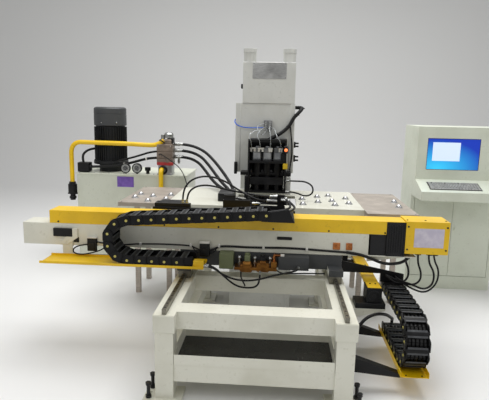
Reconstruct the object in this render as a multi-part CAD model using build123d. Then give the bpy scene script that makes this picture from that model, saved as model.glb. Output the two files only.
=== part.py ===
from build123d import *

import os
from math import asin, atan2, cos, degrees, hypot, pi, radians, sin, tan

# A plate punching machine: a C-frame press, a low bed whose saddle carries a long beam and a
# clamp carriage, roller tables, a hydraulic power pack and a control console.
# Millimetres. The origin is on the floor at the centre of the bed's anchor holes.
# +X runs along the beam, +Y from the bed to the press, +Z up.

# Fits and gaps
running_gap = 0.05
slide_gap = 0.4
free_gap = 6
seat_gap = 0.3

# Bed
bed_width = 1090
bed_length = 1600
bed_top = 500
long_beam_width = 118
long_beam_height = 100
leg_size = 100
upper_cross_depth = 130
upper_cross_setback = 60
lower_rail_low = 117
lower_rail_high = 216
tray_rim = 275
tray_bottom = 185
tray_back = -370
sheet = 3
middle_cross_front = -110
middle_cross_depth = 100
foot_length = 210
foot_depth = 160
foot_thickness = 20
anchor_hole_radius = 11
anchor_inset = 28
levelling_bolt_radius = 10
levelling_bolt_height = 110
levelling_bolt_spacing = 100
rail_width = 24
rail_height = 30
rail_end_gap = 10

# Y drive, beside the bed's right beam
y_screw_x = 735
y_screw_z = 438
y_screw_radius = 16
y_motor_size = 98
y_motor_front = -195
y_motor_back = -75
y_shelf_left = 618
y_shelf_right = 807
y_shelf_thickness = 35
y_gusset_depth = 65
y_bearing_length = 40
y_bearing_half = 35
y_rear_bearing = 735
y_cover_gap = 5
y_cover_lip = 18

# Saddle
block_length = 120
front_block_y = -190
rear_block_y = 420
block_width = 80
saddle_underside = 548
saddle_plate = 40
cross_member_front = -80
cross_member_back = 130
nut_length = 60
nut_y = 450

# X beam on the saddle
beam_low = 661
beam_high = 810
beam_half_depth = 80
beam_left = -1605
beam_right = 700
shelf_right = 1010
rail_wall = 35
rail_wall_right = 925
x_rail_size = 20
x_rail_heights = (700, 780)

# X drive, under the channel cover on the beam
x_screw_z = 850
x_screw_radius = 16
cover_left = -1420
cover_right = 809
cover_roof_right = 928
cover_top = 897
cover_back = 75
housing_left = 812
motor_cover_left = 931
motor_cover_right = 1205
motor_cover_low = 690
motor_cover_high = 903
motor_cover_back = 100

# Carriage behind the beam
carriage_left = -765
carriage_right = 225
carriage_gap = 8
carriage_plate_thickness = 20
carriage_low = 690
carriage_top = 905
nut_x = -200

# Clamps on the carriage
clamp_centres = (-655, -175)
clamp_width = 200
clamp_reach = 325
clamp_floor = 866
jaw_thickness = 16
clamp_pin_y = 205
clamp_pin_z = 905
root_depth = 40
left_root_end = -505
right_root_end = 155
clamp_pin_radius = 10
clamp_ear = 14
jaw_open = 8
fitting_left = 100

# Cable chains
link_pitch = 80
link_height = 63
link_wall = 6
link_lap = 24
link_corner = 12
x_chain_lid = 40
y_chain_lid = 45
x_chain_front = -265
x_chain_back = -100
x_chain_low = 626
x_loop_x = -842
x_chain_rise = 4.0
x_lower_links = 5
x_upper_links = 11
x_tray_left = -1415
x_tray_right = -352
x_tray_floor = 588
y_chain_left = 835
y_chain_right = 975
y_loop_y = -480
y_lower_links = 6
y_upper_links = 7
y_tray_floor = 117
y_tray_front = -620
y_tray_back = 40

# Press
press_left = -263
press_right = 223
press_nose = 560
press_front = 920
press_back = 2070
press_top = 1635
lower_jaw_top = 760
throat_roof = 1066
throat_back = 1600
throat_corner = 60
side_plate = 40
panel_setback = 6
head_left = -209
head_right = 218
head_front = 920
head_back = 1500
head_top = 1964
post_radius = 52
post_top = 2070

# Punch unit on the press front
punch_centre = 9
punch_pitch = 86
punch_y = 830
punch_frame_width = 308
punch_frame_low = 922
punch_frame_high = 1351
punch_frame_front = 740
frame_wall = 12
guide_block_low = 1056
guide_block_high = 1182
ledge_thickness = 20
guide_radius = 38
selector_width = 74
selector_top = 1284
plunger_radius = 26
crosshead_low = 985
crosshead_high = 1046
holder_radius = 30
holder_low = 925
punch_radius = 12
punch_tip = 915
ram_stroke = 40
die_top = 882
die_radius = 42
die_seat = 866
die_step = 46
die_gap = 0.6

# Tables
table_top = 860
table_sheet = 12
table_front = 470
right_table_front = 345
centre_table_half = 757
centre_table_back = 1300
side_table_width = 370
side_table_back = 1250
front_apron = 110
side_apron = 30
table_leg = 60
ball_radius = 22

# Power pack
tank_left = -1925
tank_right = -795
tank_front = 1620
tank_back = 2220
tank_top = 923
tank_foot = 80
motor_x = -1635
motor_y = 1870
motor_radius = 165
motor_low = 1030
motor_high = 1387
motor_fan_top = 1575
gauge_radius = 50
valve_x = -1020
valve_y = 1700
pipe_radius = 22.5

# Console
console_left = 1295
console_right = 2045
console_front = 1170
console_back = 1630
console_top = 1470
desk_front = 940
desk_low = 863
desk_lip = 940
desk_rear = 1017
lower_front = 1250
plinth = 60
door_thickness = 18
door_gap = 3
door_side_gap = 4
door_end_gap = 4
hinge_inset = 10
hinge_radius = 4
hinge_reach = 12
cheek = 30
screen_left = 1378
screen_right = 1822
screen_low = 1102
screen_high = 1373
screen_gap = 3

os.makedirs("parts", exist_ok=True)


# Shapes that many pieces share
def block(x, y, z):
    """A box given by its low and high ends along X, Y and Z."""
    ends = (x, y, z)
    middle = [(low + high) / 2 for low, high in ends]
    return Pos(*middle) * Box(*[high - low for low, high in ends])


def rod(radius, start, end):
    """A round bar between two points."""
    axis = Vector(*end) - Vector(*start)
    place = Plane(origin=start, z_dir=axis)
    return place * Cylinder(radius, axis.length, align=(Align.CENTER, Align.CENTER, Align.MIN))


def prism_x(outline, low, high):
    """A (y, z) outline carried along X."""
    face = Plane.YZ.offset(low) * Polygon(*outline, align=None)
    return extrude(face, high - low, dir=(1, 0, 0))


def prism_y(outline, low, high):
    """An (x, z) outline carried along Y."""
    face = Plane.XZ.offset(-low) * Polygon(*outline, align=None)
    return extrude(face, high - low, dir=(0, 1, 0))


def span(side, near, far):
    """The two ends of a stretch on the left (-1) or right (1) side, in rising order."""
    return tuple(sorted((side * near, side * far)))


def save(node, *shapes):
    """Writes the solids of one node to its file."""
    solids = [solid for shape in shapes for solid in shape.solids()]
    whole = solids[0] if len(solids) == 1 else Compound(children=solids)
    export_step(whole, f"parts/{node}.step")


def tube(points, diameter):
    """A round cord or pipe: straight runs joined by arcs as large as the runs allow."""
    radii = []
    for before, corner, after in zip(points, points[1:], points[2:]):
        run_in = Vector(*corner) - Vector(*before)
        run_out = Vector(*after) - Vector(*corner)
        turn = radians(run_in.get_angle(run_out))
        radii.append(0.45 * min(run_in.length, run_out.length) / tan(turn / 2))
    path = FilletPolyline(*points, radius=radii)
    first = Vector(*points[1]) - Vector(*points[0])
    section = Plane(origin=points[0], z_dir=first) * Circle(diameter / 2)
    body = sweep(section, path=path)
    share = body.volume / (pi * diameter**2 / 4 * path.length)
    rounded = [round(radius) for radius in radii]
    print("length", round(path.length), "diameter", diameter, "radii", rounded, "fill", round(share, 4))
    return body


# Bed
bed_half = bed_width / 2
bed_inner = bed_half - long_beam_width
beam_axis = bed_half - long_beam_width / 2
leg_inner = beam_axis - leg_size / 2
leg_outer = beam_axis + leg_size / 2
bed_front = -bed_length / 2
bed_back = bed_length / 2
beam_underside = bed_top - long_beam_height
leg_bottom = foot_thickness
foot_outer = bed_half + 2 * anchor_inset
foot_centres = (bed_front + leg_size / 2, bed_back - leg_size / 2)
anchor_x = foot_outer - anchor_inset
tray_half = leg_inner - 2
lower_rail_front = bed_front + 10
y_motor_half = y_motor_size / 2
y_shelf_top = y_screw_z - y_motor_half - y_shelf_thickness
y_bearing_top = y_screw_z + y_motor_half


def bed_frame():
    """Two long box beams on four legs with feet, and the cross members between them."""
    parts = []
    for side in (-1, 1):
        parts.append(block(span(side, bed_inner, bed_half), (bed_front, bed_back), (beam_underside, bed_top)))
        for centre in foot_centres:
            y = (centre - leg_size / 2, centre + leg_size / 2)
            parts.append(block(span(side, leg_inner, leg_outer), y, (leg_bottom, beam_underside)))
            foot_y = (centre - foot_depth / 2, centre + foot_depth / 2)
            foot = block(span(side, foot_outer - foot_length, foot_outer), foot_y, (0, foot_thickness))
            foot -= rod(anchor_hole_radius, (side * anchor_x, centre, -1), (side * anchor_x, centre, foot_thickness + 1))
            for offset in (-levelling_bolt_spacing / 2, levelling_bolt_spacing / 2):
                hole = (side * anchor_x, centre + offset)
                foot -= rod(levelling_bolt_radius + running_gap, (*hole, -1), (*hole, foot_thickness + 1))
            parts.append(foot)
        side_rail_y = (foot_centres[0], foot_centres[1])
        parts.append(block(span(side, leg_inner + 10, leg_outer - 10), side_rail_y, (lower_rail_low, lower_rail_high)))
    across = (-bed_inner, bed_inner)
    upper_y = (bed_front + upper_cross_setback, bed_front + upper_cross_setback + upper_cross_depth)
    parts.append(block(across, upper_y, (beam_underside, bed_top)))
    middle_y = (middle_cross_front, middle_cross_front + middle_cross_depth)
    parts.append(block(across, middle_y, (beam_underside - 10, bed_top - 5)))
    low_z = (lower_rail_low, lower_rail_high)
    parts.append(block((-leg_inner, leg_inner), (lower_rail_front, lower_rail_front + 80), low_z))
    parts.append(block((-leg_inner - 20, leg_inner + 20), middle_y, low_z))
    rear_y = (bed_back - leg_size, bed_back - 10)
    for z in (low_z, (beam_underside, bed_top)):
        parts.append(block((-leg_inner - 5, press_left), rear_y, z))
        parts.append(block((press_right, leg_inner + 5), rear_y, z))
    frame = Part() + parts
    return frame


def y_drive_brackets():
    """The motor shelf with two gussets, and the two bearing blocks of the Y screw."""
    shelf_low = y_shelf_top - 12
    shelf_y = (y_motor_front - 15, y_motor_back + y_bearing_length)
    gusset_low = shelf_low - y_gusset_depth
    parts = [block((bed_half - 2, y_shelf_right), shelf_y, (shelf_low, y_shelf_top))]
    gusset = ((bed_half - 2, gusset_low), (bed_half - 2, shelf_low + 1), (y_shelf_right, shelf_low + 1))
    for front in (shelf_y[0], shelf_y[1] - 12):
        parts.append(prism_y(gusset, front, front + 12))
    side_web = block((leg_outer - 5, bed_half), shelf_y, (gusset_low, beam_underside + 1))
    parts.append(side_web)
    bearing_x = (y_screw_x - y_bearing_half, y_screw_x + y_bearing_half)
    for front, low in ((y_motor_back, y_shelf_top - 1), (y_rear_bearing, beam_underside)):
        back = front + y_bearing_length
        parts.append(block(bearing_x, (front, back), (low, y_bearing_top)))
    rear_y = (y_rear_bearing, y_rear_bearing + y_bearing_length)
    parts.append(block((bed_half - 2, y_screw_x), rear_y, (beam_underside, beam_underside + 30)))
    bore = rod(
        y_screw_radius + running_gap,
        (y_screw_x, y_motor_back - 1, y_screw_z),
        (y_screw_x, y_rear_bearing + y_bearing_length + 1, y_screw_z),
    )
    return (Part() + parts) - bore


def drip_tray():
    """A sheet pan between the lower side rails, with a lip over the front cross member."""
    lip = (bed_front + 5, bed_front + leg_size)
    pan = (bed_front + leg_size, tray_back)
    wide = leg_inner + 10
    outer = block((-tray_half, tray_half), (lip[0], lip[1] + 1), (lower_rail_high, tray_rim))
    outer += block((-wide, wide), pan, (tray_bottom, tray_rim))
    narrow = (-tray_half + sheet, tray_half - sheet)
    inner = block(narrow, (lip[0] + sheet, lip[1] + sheet + 1), (lower_rail_high + sheet, tray_rim + 1))
    pan_y = (pan[0] + sheet, pan[1] - sheet)
    inner += block((-wide + sheet, wide - sheet), pan_y, (tray_bottom + sheet, tray_rim + 1))
    return outer - inner


def levelling_bolts():
    """Square-necked screws with a nut on each foot plate, two at each foot."""
    bolts = []
    for side in (-1, 1):
        for centre in foot_centres:
            for offset in (-levelling_bolt_spacing / 2, levelling_bolt_spacing / 2):
                x, y = side * anchor_x, centre + offset
                shank = rod(levelling_bolt_radius, (x, y, 0), (x, y, levelling_bolt_height))
                nut_face = Plane(origin=(x, y, foot_thickness)) * RegularPolygon(17, 6)
                head_face = Plane(origin=(x, y, levelling_bolt_height - 16)) * RegularPolygon(16, 6)
                nut = extrude(nut_face, 16, dir=(0, 0, 1))
                head = extrude(head_face, 16, dir=(0, 0, 1))
                bolts.append(shank + nut + head)
    return bolts


def y_rails():
    """Two ground rails along the tops of the long beams."""
    ends = (bed_front + rail_end_gap, bed_back - rail_end_gap)
    half = rail_width / 2
    return [
        block((side * beam_axis - half, side * beam_axis + half), ends, (bed_top, bed_top + rail_height))
        for side in (-1, 1)
    ]


def y_motor():
    """Servo motor on its thick black mounting plate."""
    x = (y_screw_x - y_motor_half, y_screw_x + y_motor_half)
    z = (y_screw_z - y_motor_half, y_screw_z + y_motor_half)
    body = block(x, (y_motor_front, y_motor_back), z)
    body = chamfer(body.edges().filter_by(Axis.Y).group_by(Axis.Z)[0], 4)
    plate = block((y_shelf_left, y_shelf_right), (y_motor_front - 15, y_motor_back), (y_shelf_top, z[0]))
    return body, plate


def y_screw():
    """Ball screw of the Y drive, with a turned-down end in each bearing."""
    front = (y_screw_x, y_motor_back + 0.5, y_screw_z)
    back = (y_screw_x, y_rear_bearing + y_bearing_length - 5, y_screw_z)
    return rod(y_screw_radius, front, back)


def y_screw_cover():
    """Folded strip over the Y screw; its roof runs on over the motor to the motor's front."""
    inner = y_bearing_half + y_cover_gap
    outer = inner + sheet
    low, high = y_bearing_top - y_cover_lip, y_bearing_top + sheet
    outline = (
        (y_screw_x - outer, low),
        (y_screw_x - outer, high),
        (y_screw_x + outer, high),
        (y_screw_x + outer, low),
        (y_screw_x + inner, low),
        (y_screw_x + inner, y_bearing_top),
        (y_screw_x - inner, y_bearing_top),
        (y_screw_x - inner, low),
    )
    channel = prism_y(outline, y_motor_back + 2, y_rear_bearing + y_bearing_length - 2)
    roof_y = (y_motor_front + 2, y_motor_back + 3)
    roof = block((y_screw_x - outer, y_screw_x + outer), roof_y, (y_bearing_top, high))
    return channel + roof


save("bed_frame", bed_frame() + y_drive_brackets(), drip_tray())
save("levelling_bolts", *levelling_bolts())
save("y_rails", *y_rails())
save("y_motor", *y_motor())
save("y_screw", y_screw())
save("y_screw_cover", y_screw_cover())


# Cable chains: each link has two stepped side plates and two cross bars
def chain_link(width, lid):
    """A link along +X from its own pin at the origin to the next one; Y across, Z up."""
    parts = []
    half = link_height / 2
    corner = link_corner
    middle = link_pitch / 2
    step = 4
    for side in (-1, 1):
        outer = (
            (-link_lap, -half + corner),
            (-link_lap, half - corner),
            (-link_lap + corner, half),
            (middle + step, half),
            (middle + step, -half),
            (-link_lap + corner, -half),
        )
        far = link_pitch + link_lap
        inner = (
            (far, half - corner),
            (far - corner, half),
            (middle - step, half),
            (middle - step, -half),
            (far - corner, -half),
            (far, -half + corner),
        )
        y_outer = span(side, width / 2 - link_wall, width / 2)
        y_inner = span(side, width / 2 - 2 * link_wall - 0.5, width / 2 - link_wall - 0.5)
        parts.append(prism_y(outer, *y_outer))
        parts.append(prism_y(inner, *y_inner))
        joint_y = span(side, width / 2 - link_wall - 2, width / 2 - link_wall + 2)
        parts.append(block((middle - step, middle + step), joint_y, (-half, half)))
    bar_x = (middle - 14, middle + 14)
    bar_y = (-width / 2 + 2, width / 2 - 2)
    lid_x = (middle - lid / 2, middle + lid / 2)
    lid_reach = width / 2 - 2 * link_wall - 1.5
    for z in ((-half, -half + 5), (half - 5, half)):
        parts.append(block(bar_x, bar_y, z))
        parts.append(block(lid_x, (-lid_reach, lid_reach), z))
    return Part() + parts


def chain_pin(width, side):
    """The round cap of the pin that joins a link to the one before it."""
    y = span(side, width / 2, width / 2 + 3)
    return rod(8, (0, y[0], 0), (0, y[1], 0))


def straight_run(link, start, angle, count):
    """Copies of a link one pitch apart, in the XZ plane, from a pin at start."""
    x, z = start
    links = []
    for step in range(count):
        reach = step * link_pitch
        place = Pos(x + reach * cos(angle), 0, z + reach * sin(angle))
        links.append(place * Rot(0, -degrees(angle), 0) * link)
    return links


def loop_run(link, centre, radius):
    """Five links round the half circle on the -X side of a centre, top pin to bottom pin."""
    x, z = centre
    links = []
    for step in range(5):
        first = pi / 2 + step * pi / 5
        second = first + pi / 5
        start = (x + radius * cos(first), z + radius * sin(first))
        end = (x + radius * cos(second), z + radius * sin(second))
        angle = atan2(end[1] - start[1], end[0] - start[0])
        links.append(Pos(start[0], 0, start[1]) * Rot(0, -degrees(angle), 0) * link)
    return links


loop_radius = link_pitch / 2 / sin(pi / 10)
x_chain_width = x_chain_back - x_chain_front
x_chain_middle = (x_chain_back + x_chain_front) / 2
x_loop_z = x_chain_low + loop_radius
x_chain_high = x_loop_z + loop_radius
x_fixed_end = x_loop_x + x_lower_links * link_pitch
rise = radians(x_chain_rise)


def capped_link(width):
    """A link with a pin cap on its -Y side."""
    return chain_link(width, x_chain_lid) + chain_pin(width, -1)


def x_chain():
    """The lower run, the loop and the rising upper run of the X chain."""
    link = Pos(0, x_chain_middle, 0) * capped_link(x_chain_width)
    reversed_link = Pos(0, x_chain_middle, 0) * Rot(0, 180, 0) * capped_link(x_chain_width)
    lower = straight_run(link, (x_loop_x, x_chain_low), 0, x_lower_links)
    loop = loop_run(link, (x_loop_x, x_loop_z), loop_radius)
    upper_start = (x_loop_x + link_pitch * cos(rise), x_chain_high + link_pitch * sin(rise))
    upper = straight_run(reversed_link, upper_start, rise, x_upper_links)
    return lower, loop, upper


x_lower, x_loop, x_upper = x_chain()
save("x_chain_lower", *x_lower)
save("x_chain_loop", *x_loop)
save("x_chain_upper", *x_upper)
x_upper_end = (x_loop_x + x_upper_links * link_pitch * cos(rise), x_chain_high + x_upper_links * link_pitch * sin(rise))

y_chain_width = y_chain_right - y_chain_left
y_chain_middle = (y_chain_right + y_chain_left) / 2
y_chain_low = y_tray_floor + sheet + link_height / 2 + 4
y_chain_high = y_chain_low + 2 * loop_radius


def y_chain():
    """The Y chain: the same links, turned so that the chain runs along +Y."""
    turn = Pos(y_chain_middle, 0, 0) * Rot(0, 0, 90)
    link = chain_link(y_chain_width, y_chain_lid)
    reversed_link = Rot(0, 180, 0) * link
    lower = straight_run(link, (y_loop_y, y_chain_low), 0, y_lower_links)
    loop = loop_run(link, (y_loop_y, y_chain_low + loop_radius), loop_radius)
    upper = straight_run(reversed_link, (y_loop_y + link_pitch, y_chain_high), 0, y_upper_links)
    return [[turn * piece for piece in run] for run in (lower, loop, upper)]


y_lower, y_loop, y_upper = y_chain()
save("y_chain_lower", *y_lower)
save("y_chain_loop", *y_loop)
save("y_chain_upper", *y_upper)
y_upper_end = y_loop_y + y_upper_links * link_pitch


def y_chain_tray():
    """Folded tray under the Y chain, on a tapered arm from the bed's front right leg."""
    left, right = y_chain_left - 10, y_chain_right + 10
    outline = (
        (left, y_tray_floor + 33),
        (left, y_tray_floor),
        (right, y_tray_floor),
        (right, y_tray_floor + 33),
        (right - sheet, y_tray_floor + 33),
        (right - sheet, y_tray_floor + sheet),
        (left + sheet, y_tray_floor + sheet),
        (left + sheet, y_tray_floor + 33),
    )
    tray = prism_y(outline, y_tray_front, y_tray_back)
    arms = []
    for front in (y_tray_front + 40, y_tray_back - 90):
        arm = (
            (leg_outer - 10, lower_rail_low),
            (leg_outer - 10, lower_rail_high),
            (left, y_tray_floor),
            (right, y_tray_floor),
            (right, y_tray_floor - 8),
            (left, y_tray_floor - 24),
        )
        arms.append(prism_y(arm, front, front + 50))
    return tray, arms


tray, arms = y_chain_tray()
save("y_chain_tray", tray, *arms)

# Saddle
saddle_left_edge = beam_axis - 44
saddle_right_edge = beam_axis + 48
arm_top = saddle_underside + saddle_plate
rear_end = rear_block_y + block_length
nut_half = y_bearing_half
nut_top = y_bearing_top - y_cover_lip - 5
web_left = 610
web_right = 650
chain_bar_low = y_chain_high + link_height / 2 + 0.5


def saddle_frame():
    """Side arms over the rails joined by a cross member, with the Y nut and chain brackets."""
    parts = []
    for side in (-1, 1):
        arm_x = span(side, saddle_left_edge, saddle_right_edge)
        parts.append(block(arm_x, (front_block_y, rear_end), (saddle_underside, arm_top)))
    width = (-saddle_right_edge, saddle_right_edge)
    member = block(width, (cross_member_front, cross_member_back), (saddle_underside + 12, beam_low))
    parts.append(member)
    shroud_x = (120, 316)
    parts.append(block(shroud_x, (cross_member_front - 70, cross_member_front + 1), (saddle_underside + 20, beam_low - 6)))
    nut_y_ends = (nut_y, nut_y + nut_length)
    nut_right = y_screw_x + nut_half
    bracket = (
        (saddle_right_edge - 2, saddle_underside),
        (saddle_right_edge - 2, arm_top),
        (web_right, arm_top),
        (web_right, nut_top),
        (nut_right, nut_top),
        (nut_right, y_screw_z - nut_half),
        (web_left, y_screw_z - nut_half),
        (web_left, saddle_underside),
    )
    parts.append(prism_y(bracket, *nut_y_ends))
    chain_bar = (
        (saddle_right_edge - 2, y_bearing_top + 3 * free_gap),
        (saddle_right_edge - 2, arm_top),
        (y_chain_right, y_bearing_top + 3 * free_gap),
        (y_chain_right, chain_bar_low),
        (y_chain_left - 15, chain_bar_low),
        (y_chain_left - 15, y_bearing_top + 3 * free_gap),
    )
    parts.append(prism_y(chain_bar, y_upper_end - 20, y_upper_end - 8))
    foot = block((y_chain_left, y_chain_right), (y_upper_end - 70, y_upper_end - 8), (chain_bar_low, chain_bar_low + 6))
    parts.append(foot)
    bore = rod(
        y_screw_radius + running_gap,
        (y_screw_x, nut_y - 1, y_screw_z),
        (y_screw_x, nut_y + nut_length + 1, y_screw_z),
    )
    return (Part() + parts) - bore


def bearing_blocks():
    """Four rail carriages, each with a groove that runs on the rail."""
    blocks = []
    for side in (-1, 1):
        for front in (front_block_y, rear_block_y):
            x = (side * beam_axis - block_width / 2, side * beam_axis + block_width / 2)
            y = (front, front + block_length)
            body = block(x, y, (bed_top + 4, saddle_underside))
            half = rail_width / 2 + slide_gap
            groove_x = (side * beam_axis - half, side * beam_axis + half)
            groove_z = (bed_top - 1, bed_top + rail_height + slide_gap)
            blocks.append(body - block(groove_x, (front - 1, front + block_length + 1), groove_z))
    return blocks


def x_beam():
    """Closed box beam; its floor goes on as a shelf and its rear wall as a rail carrier."""
    body = block((beam_left, beam_right), (-beam_half_depth, beam_half_depth), (beam_low, beam_high))
    shelf = block((beam_right - 2, shelf_right), (-beam_half_depth, beam_half_depth), (beam_low, beam_low + free_gap))
    wall_y = (beam_half_depth - rail_wall, beam_half_depth)
    wall = block((beam_right - 2, rail_wall_right), wall_y, (beam_low, beam_high))
    rib = ((beam_right - 2, beam_low + 1), (beam_right - 2, beam_low - 40), (shelf_right - 40, beam_low + 1))
    ribs = prism_y(rib, -beam_half_depth + 20, -beam_half_depth + 30)
    hanger_x = (x_tray_left + 80, x_tray_left + 150)
    hanger = (
        (-beam_half_depth, beam_low + 40),
        (-beam_half_depth, x_tray_floor - 8),
        (x_chain_front + 40, x_tray_floor - 8),
        (x_chain_front + 40, x_tray_floor),
        (-beam_half_depth - 8, x_tray_floor),
        (-beam_half_depth - 8, beam_low + 40),
    )
    foot = block(hanger_x, (-beam_half_depth - 8, -beam_half_depth + 20), (beam_low - 8, beam_low + 1))
    return body + shelf + wall + ribs + prism_x(hanger, *hanger_x) + foot


def x_rails():
    """Two rails on the beam's rear face."""
    half = x_rail_size / 2
    y = (beam_half_depth, beam_half_depth + x_rail_size)
    return [
        block((beam_left + rail_end_gap, rail_wall_right - 5), y, (centre - half, centre + half))
        for centre in x_rail_heights
    ]


def x_cover():
    """Inverted channel over the X screw; the roof runs on over the bearing housing."""
    front = -beam_half_depth
    roof_x = (cover_left, cover_roof_right)
    wall_x = (cover_left, cover_right)
    roof = block(roof_x, (front, cover_back), (cover_top - sheet, cover_top))
    front_wall = block(wall_x, (front, front + sheet), (beam_high, cover_top))
    back_wall = block(wall_x, (cover_back - sheet, cover_back), (x_screw_z + 12, cover_top))
    end_wall = block((cover_left, cover_left + sheet), (front, cover_back), (beam_high, cover_top))
    return roof + front_wall + back_wall + end_wall


def x_screw():
    """Ball screw of the X drive, from its left bearing into the housing."""
    left = (cover_left + 30, 0, x_screw_z)
    right = (housing_left + 60, 0, x_screw_z)
    return rod(x_screw_radius, left, right)


def x_screw_housing():
    """Right bearing housing and motor flange as one casting, and the left bearing block."""
    front = -beam_half_depth
    back = beam_half_depth - rail_wall
    top = cover_top - sheet
    floor = beam_low + free_gap
    big = block((housing_left, motor_cover_left), (front, back), (floor, top))
    low = block((beam_right + 12, housing_left + 1), (front + 12, back), (floor, beam_high - 8))
    bore = rod(x_screw_radius + running_gap, (housing_left - 1, 0, x_screw_z), (housing_left + 65, 0, x_screw_z))
    left_x = (cover_left + 25, cover_left + 70)
    left = block(left_x, (-40, 40), (beam_high, x_screw_z + 32))
    left -= rod(x_screw_radius + running_gap, (left_x[0] + 5, 0, x_screw_z), (left_x[1] + 1, 0, x_screw_z))
    return (big + low) - bore, left


def x_motor_cover():
    """Folded cover over the X motor: open below, with a lip at its left end."""
    x = (motor_cover_left, motor_cover_right)
    y = (-beam_half_depth - 5, motor_cover_back)
    outer = block(x, y, (motor_cover_low, motor_cover_high))
    inner = block(
        (x[0] + sheet, x[1] - sheet),
        (y[0] + sheet, y[1] - sheet),
        (motor_cover_low - 1, motor_cover_high - sheet),
    )
    shelf_slot = block((x[0] - 1, x[0] + sheet + 1), (y[0] - 1, y[1] + 1), (motor_cover_low - 1, motor_cover_low + 1))
    motor = block((x[0] + sheet, x[0] + 180), (-55, 55), (x_screw_z - 55, x_screw_z + 45))
    return outer - inner - shelf_slot, motor


def x_chain_tray():
    """Folded tray under the X chain, with a clamp block at the chain's fixed end."""
    front, back = x_chain_front - 6, -beam_half_depth - 10
    outline = (
        (front, x_tray_floor + 17),
        (front, x_tray_floor),
        (back, x_tray_floor),
        (back, x_tray_floor + 17),
        (back - sheet, x_tray_floor + 17),
        (back - sheet, x_tray_floor + sheet),
        (front + sheet, x_tray_floor + sheet),
        (front + sheet, x_tray_floor + 17),
    )
    folded = prism_x(outline, x_tray_left, x_tray_right)
    clamp_x = (x_fixed_end + link_lap + seat_gap, x_tray_right)
    clamp = block(clamp_x, (front + 12, front + 60), (x_tray_floor + sheet - 1, x_tray_floor + 52))
    return folded + clamp


def valve_manifold():
    """Ported bar on the saddle's front with three solenoid valves and a junction box."""
    back = cross_member_front
    bar = block((-165, 110), (back - 90, back), (saddle_underside + 14, saddle_underside + 40))
    box = block((-265, -172), (back - 80, back), (saddle_underside + 14, beam_low - 8))
    valves = []
    for x in (-132, -42, 62):
        body = block((x - 20, x + 20), (back - 75, back - 15), (saddle_underside + 40, beam_low - 28))
        cap = rod(16, (x, back - 45, beam_low - 28), (x, back - 45, beam_low - 6))
        valves.append(body + cap)
    return [bar, box] + valves


def beam_wiring():
    """Wiring clipped along the beam's front, with sensors, clips and motor plugs."""
    front = -beam_half_depth
    pieces = []
    for x, low, depth in ((-1130, 628, sensor_depth), (-367, 628, 42)):
        head = block((x - 32, x + 32), (front - depth, front), (low, low + 88))
        cap = block((x - 34, x + 34), (front - depth - 1, front), (low + 88, low + 98))
        pieces.append(head + cap)
    pieces.append(block((-1393, -1262), (front - sensor_depth, front), (722, 778)))
    pieces.append(block((106, 204), (front - 8, front), (752, 772)))
    reach = front - 5
    left = [(-1098, reach, 690), (-960, reach, 672), (-800, reach, 692), (-470, reach, 694)]
    left += [(-430, reach - 4, 676), (-400, reach - 16, 668)]
    right = [(-334, reach - 16, 668), (-300, reach - 4, 676), (-262, reach, 697), (-60, reach, 692)]
    right += [(190, reach, 700), (420, reach, 690), (560, reach, 684), (700, reach, 676)]
    pieces.append(tube(left, 9))
    pieces.append(tube(right, 9))
    for ends, z in (((-1258, -1222), (682, 718)), ((471, 518), (699, 746)), ((555, 596), (699, 746))):
        pieces.append(block(ends, (front - 5, front), z))
    plug_top = motor_cover_low + 30
    for x in plug_xs:
        pieces.append(block((x - 24, x + 24), (-24, 24), (plug_low, plug_top)))
    return pieces


plug_xs = (1040, 1115)
plug_low = 664
sensor_depth = 17

save("saddle_frame", saddle_frame())
save("bearing_blocks", *bearing_blocks())
save("x_beam", x_beam())
save("x_rails", *x_rails())
save("x_cover", x_cover())
save("x_screw", x_screw())
save("x_screw_housing", *x_screw_housing())
save("x_motor_cover", *x_motor_cover())
save("x_chain_tray", x_chain_tray())
save("valve_manifold", *valve_manifold())
save("beam_wiring", *beam_wiring())

# Carriage
plate_front = beam_half_depth + x_rail_size + carriage_gap
plate_back = plate_front + carriage_plate_thickness
root_top = clamp_pin_z + 25


def carriage_plate():
    """Plate behind the beam on four rail carriages, with the nut arm under the cover's rear."""
    body = block((carriage_left, carriage_right), (plate_front, plate_back), (carriage_low, carriage_top))
    parts = [body]
    half = x_rail_size / 2
    for left in (carriage_left + 20, carriage_right - 140):
        for centre in x_rail_heights:
            y = (beam_half_depth + 4, plate_front + 1)
            bearing = block((left, left + 120), y, (centre - 28, centre + 28))
            groove_z = (centre - half - slide_gap, centre + half + slide_gap)
            groove_y = (beam_half_depth, beam_half_depth + x_rail_size + slide_gap)
            parts.append(bearing - block((left - 1, left + 121), groove_y, groove_z))
    arm = block((nut_x - 30, nut_x + 30), (-28, plate_front + 1), (beam_high + 5, x_screw_z))
    nut = block((nut_x - 30, nut_x + 30), (-28, 28), (beam_high + 5, x_screw_z + 28))
    bore = rod(x_screw_radius + running_gap, (nut_x - 31, 0, x_screw_z), (nut_x + 31, 0, x_screw_z))
    return (Part() + parts + [arm, nut]) - bore


def chain_bracket():
    """Black plate over the cover that carries the chain's moving end, with a folded front."""
    left, right = x_upper_end[0] - 30, x_upper_end[0] + 175
    floor = carriage_top
    link_underside = x_chain_high + (left - x_loop_x) * tan(rise) - link_height / 2 / cos(rise)
    plate = block((left, right), (x_chain_front + 15, plate_back), (floor, link_underside - seat_gap))
    lip = (
        (left + 40, floor),
        (left + 40, floor + 60),
        (right - 40, floor + 85),
        (right, floor),
    )
    folded = prism_y(lip, x_chain_front + 9, x_chain_front + 15)
    return plate + folded


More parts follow.
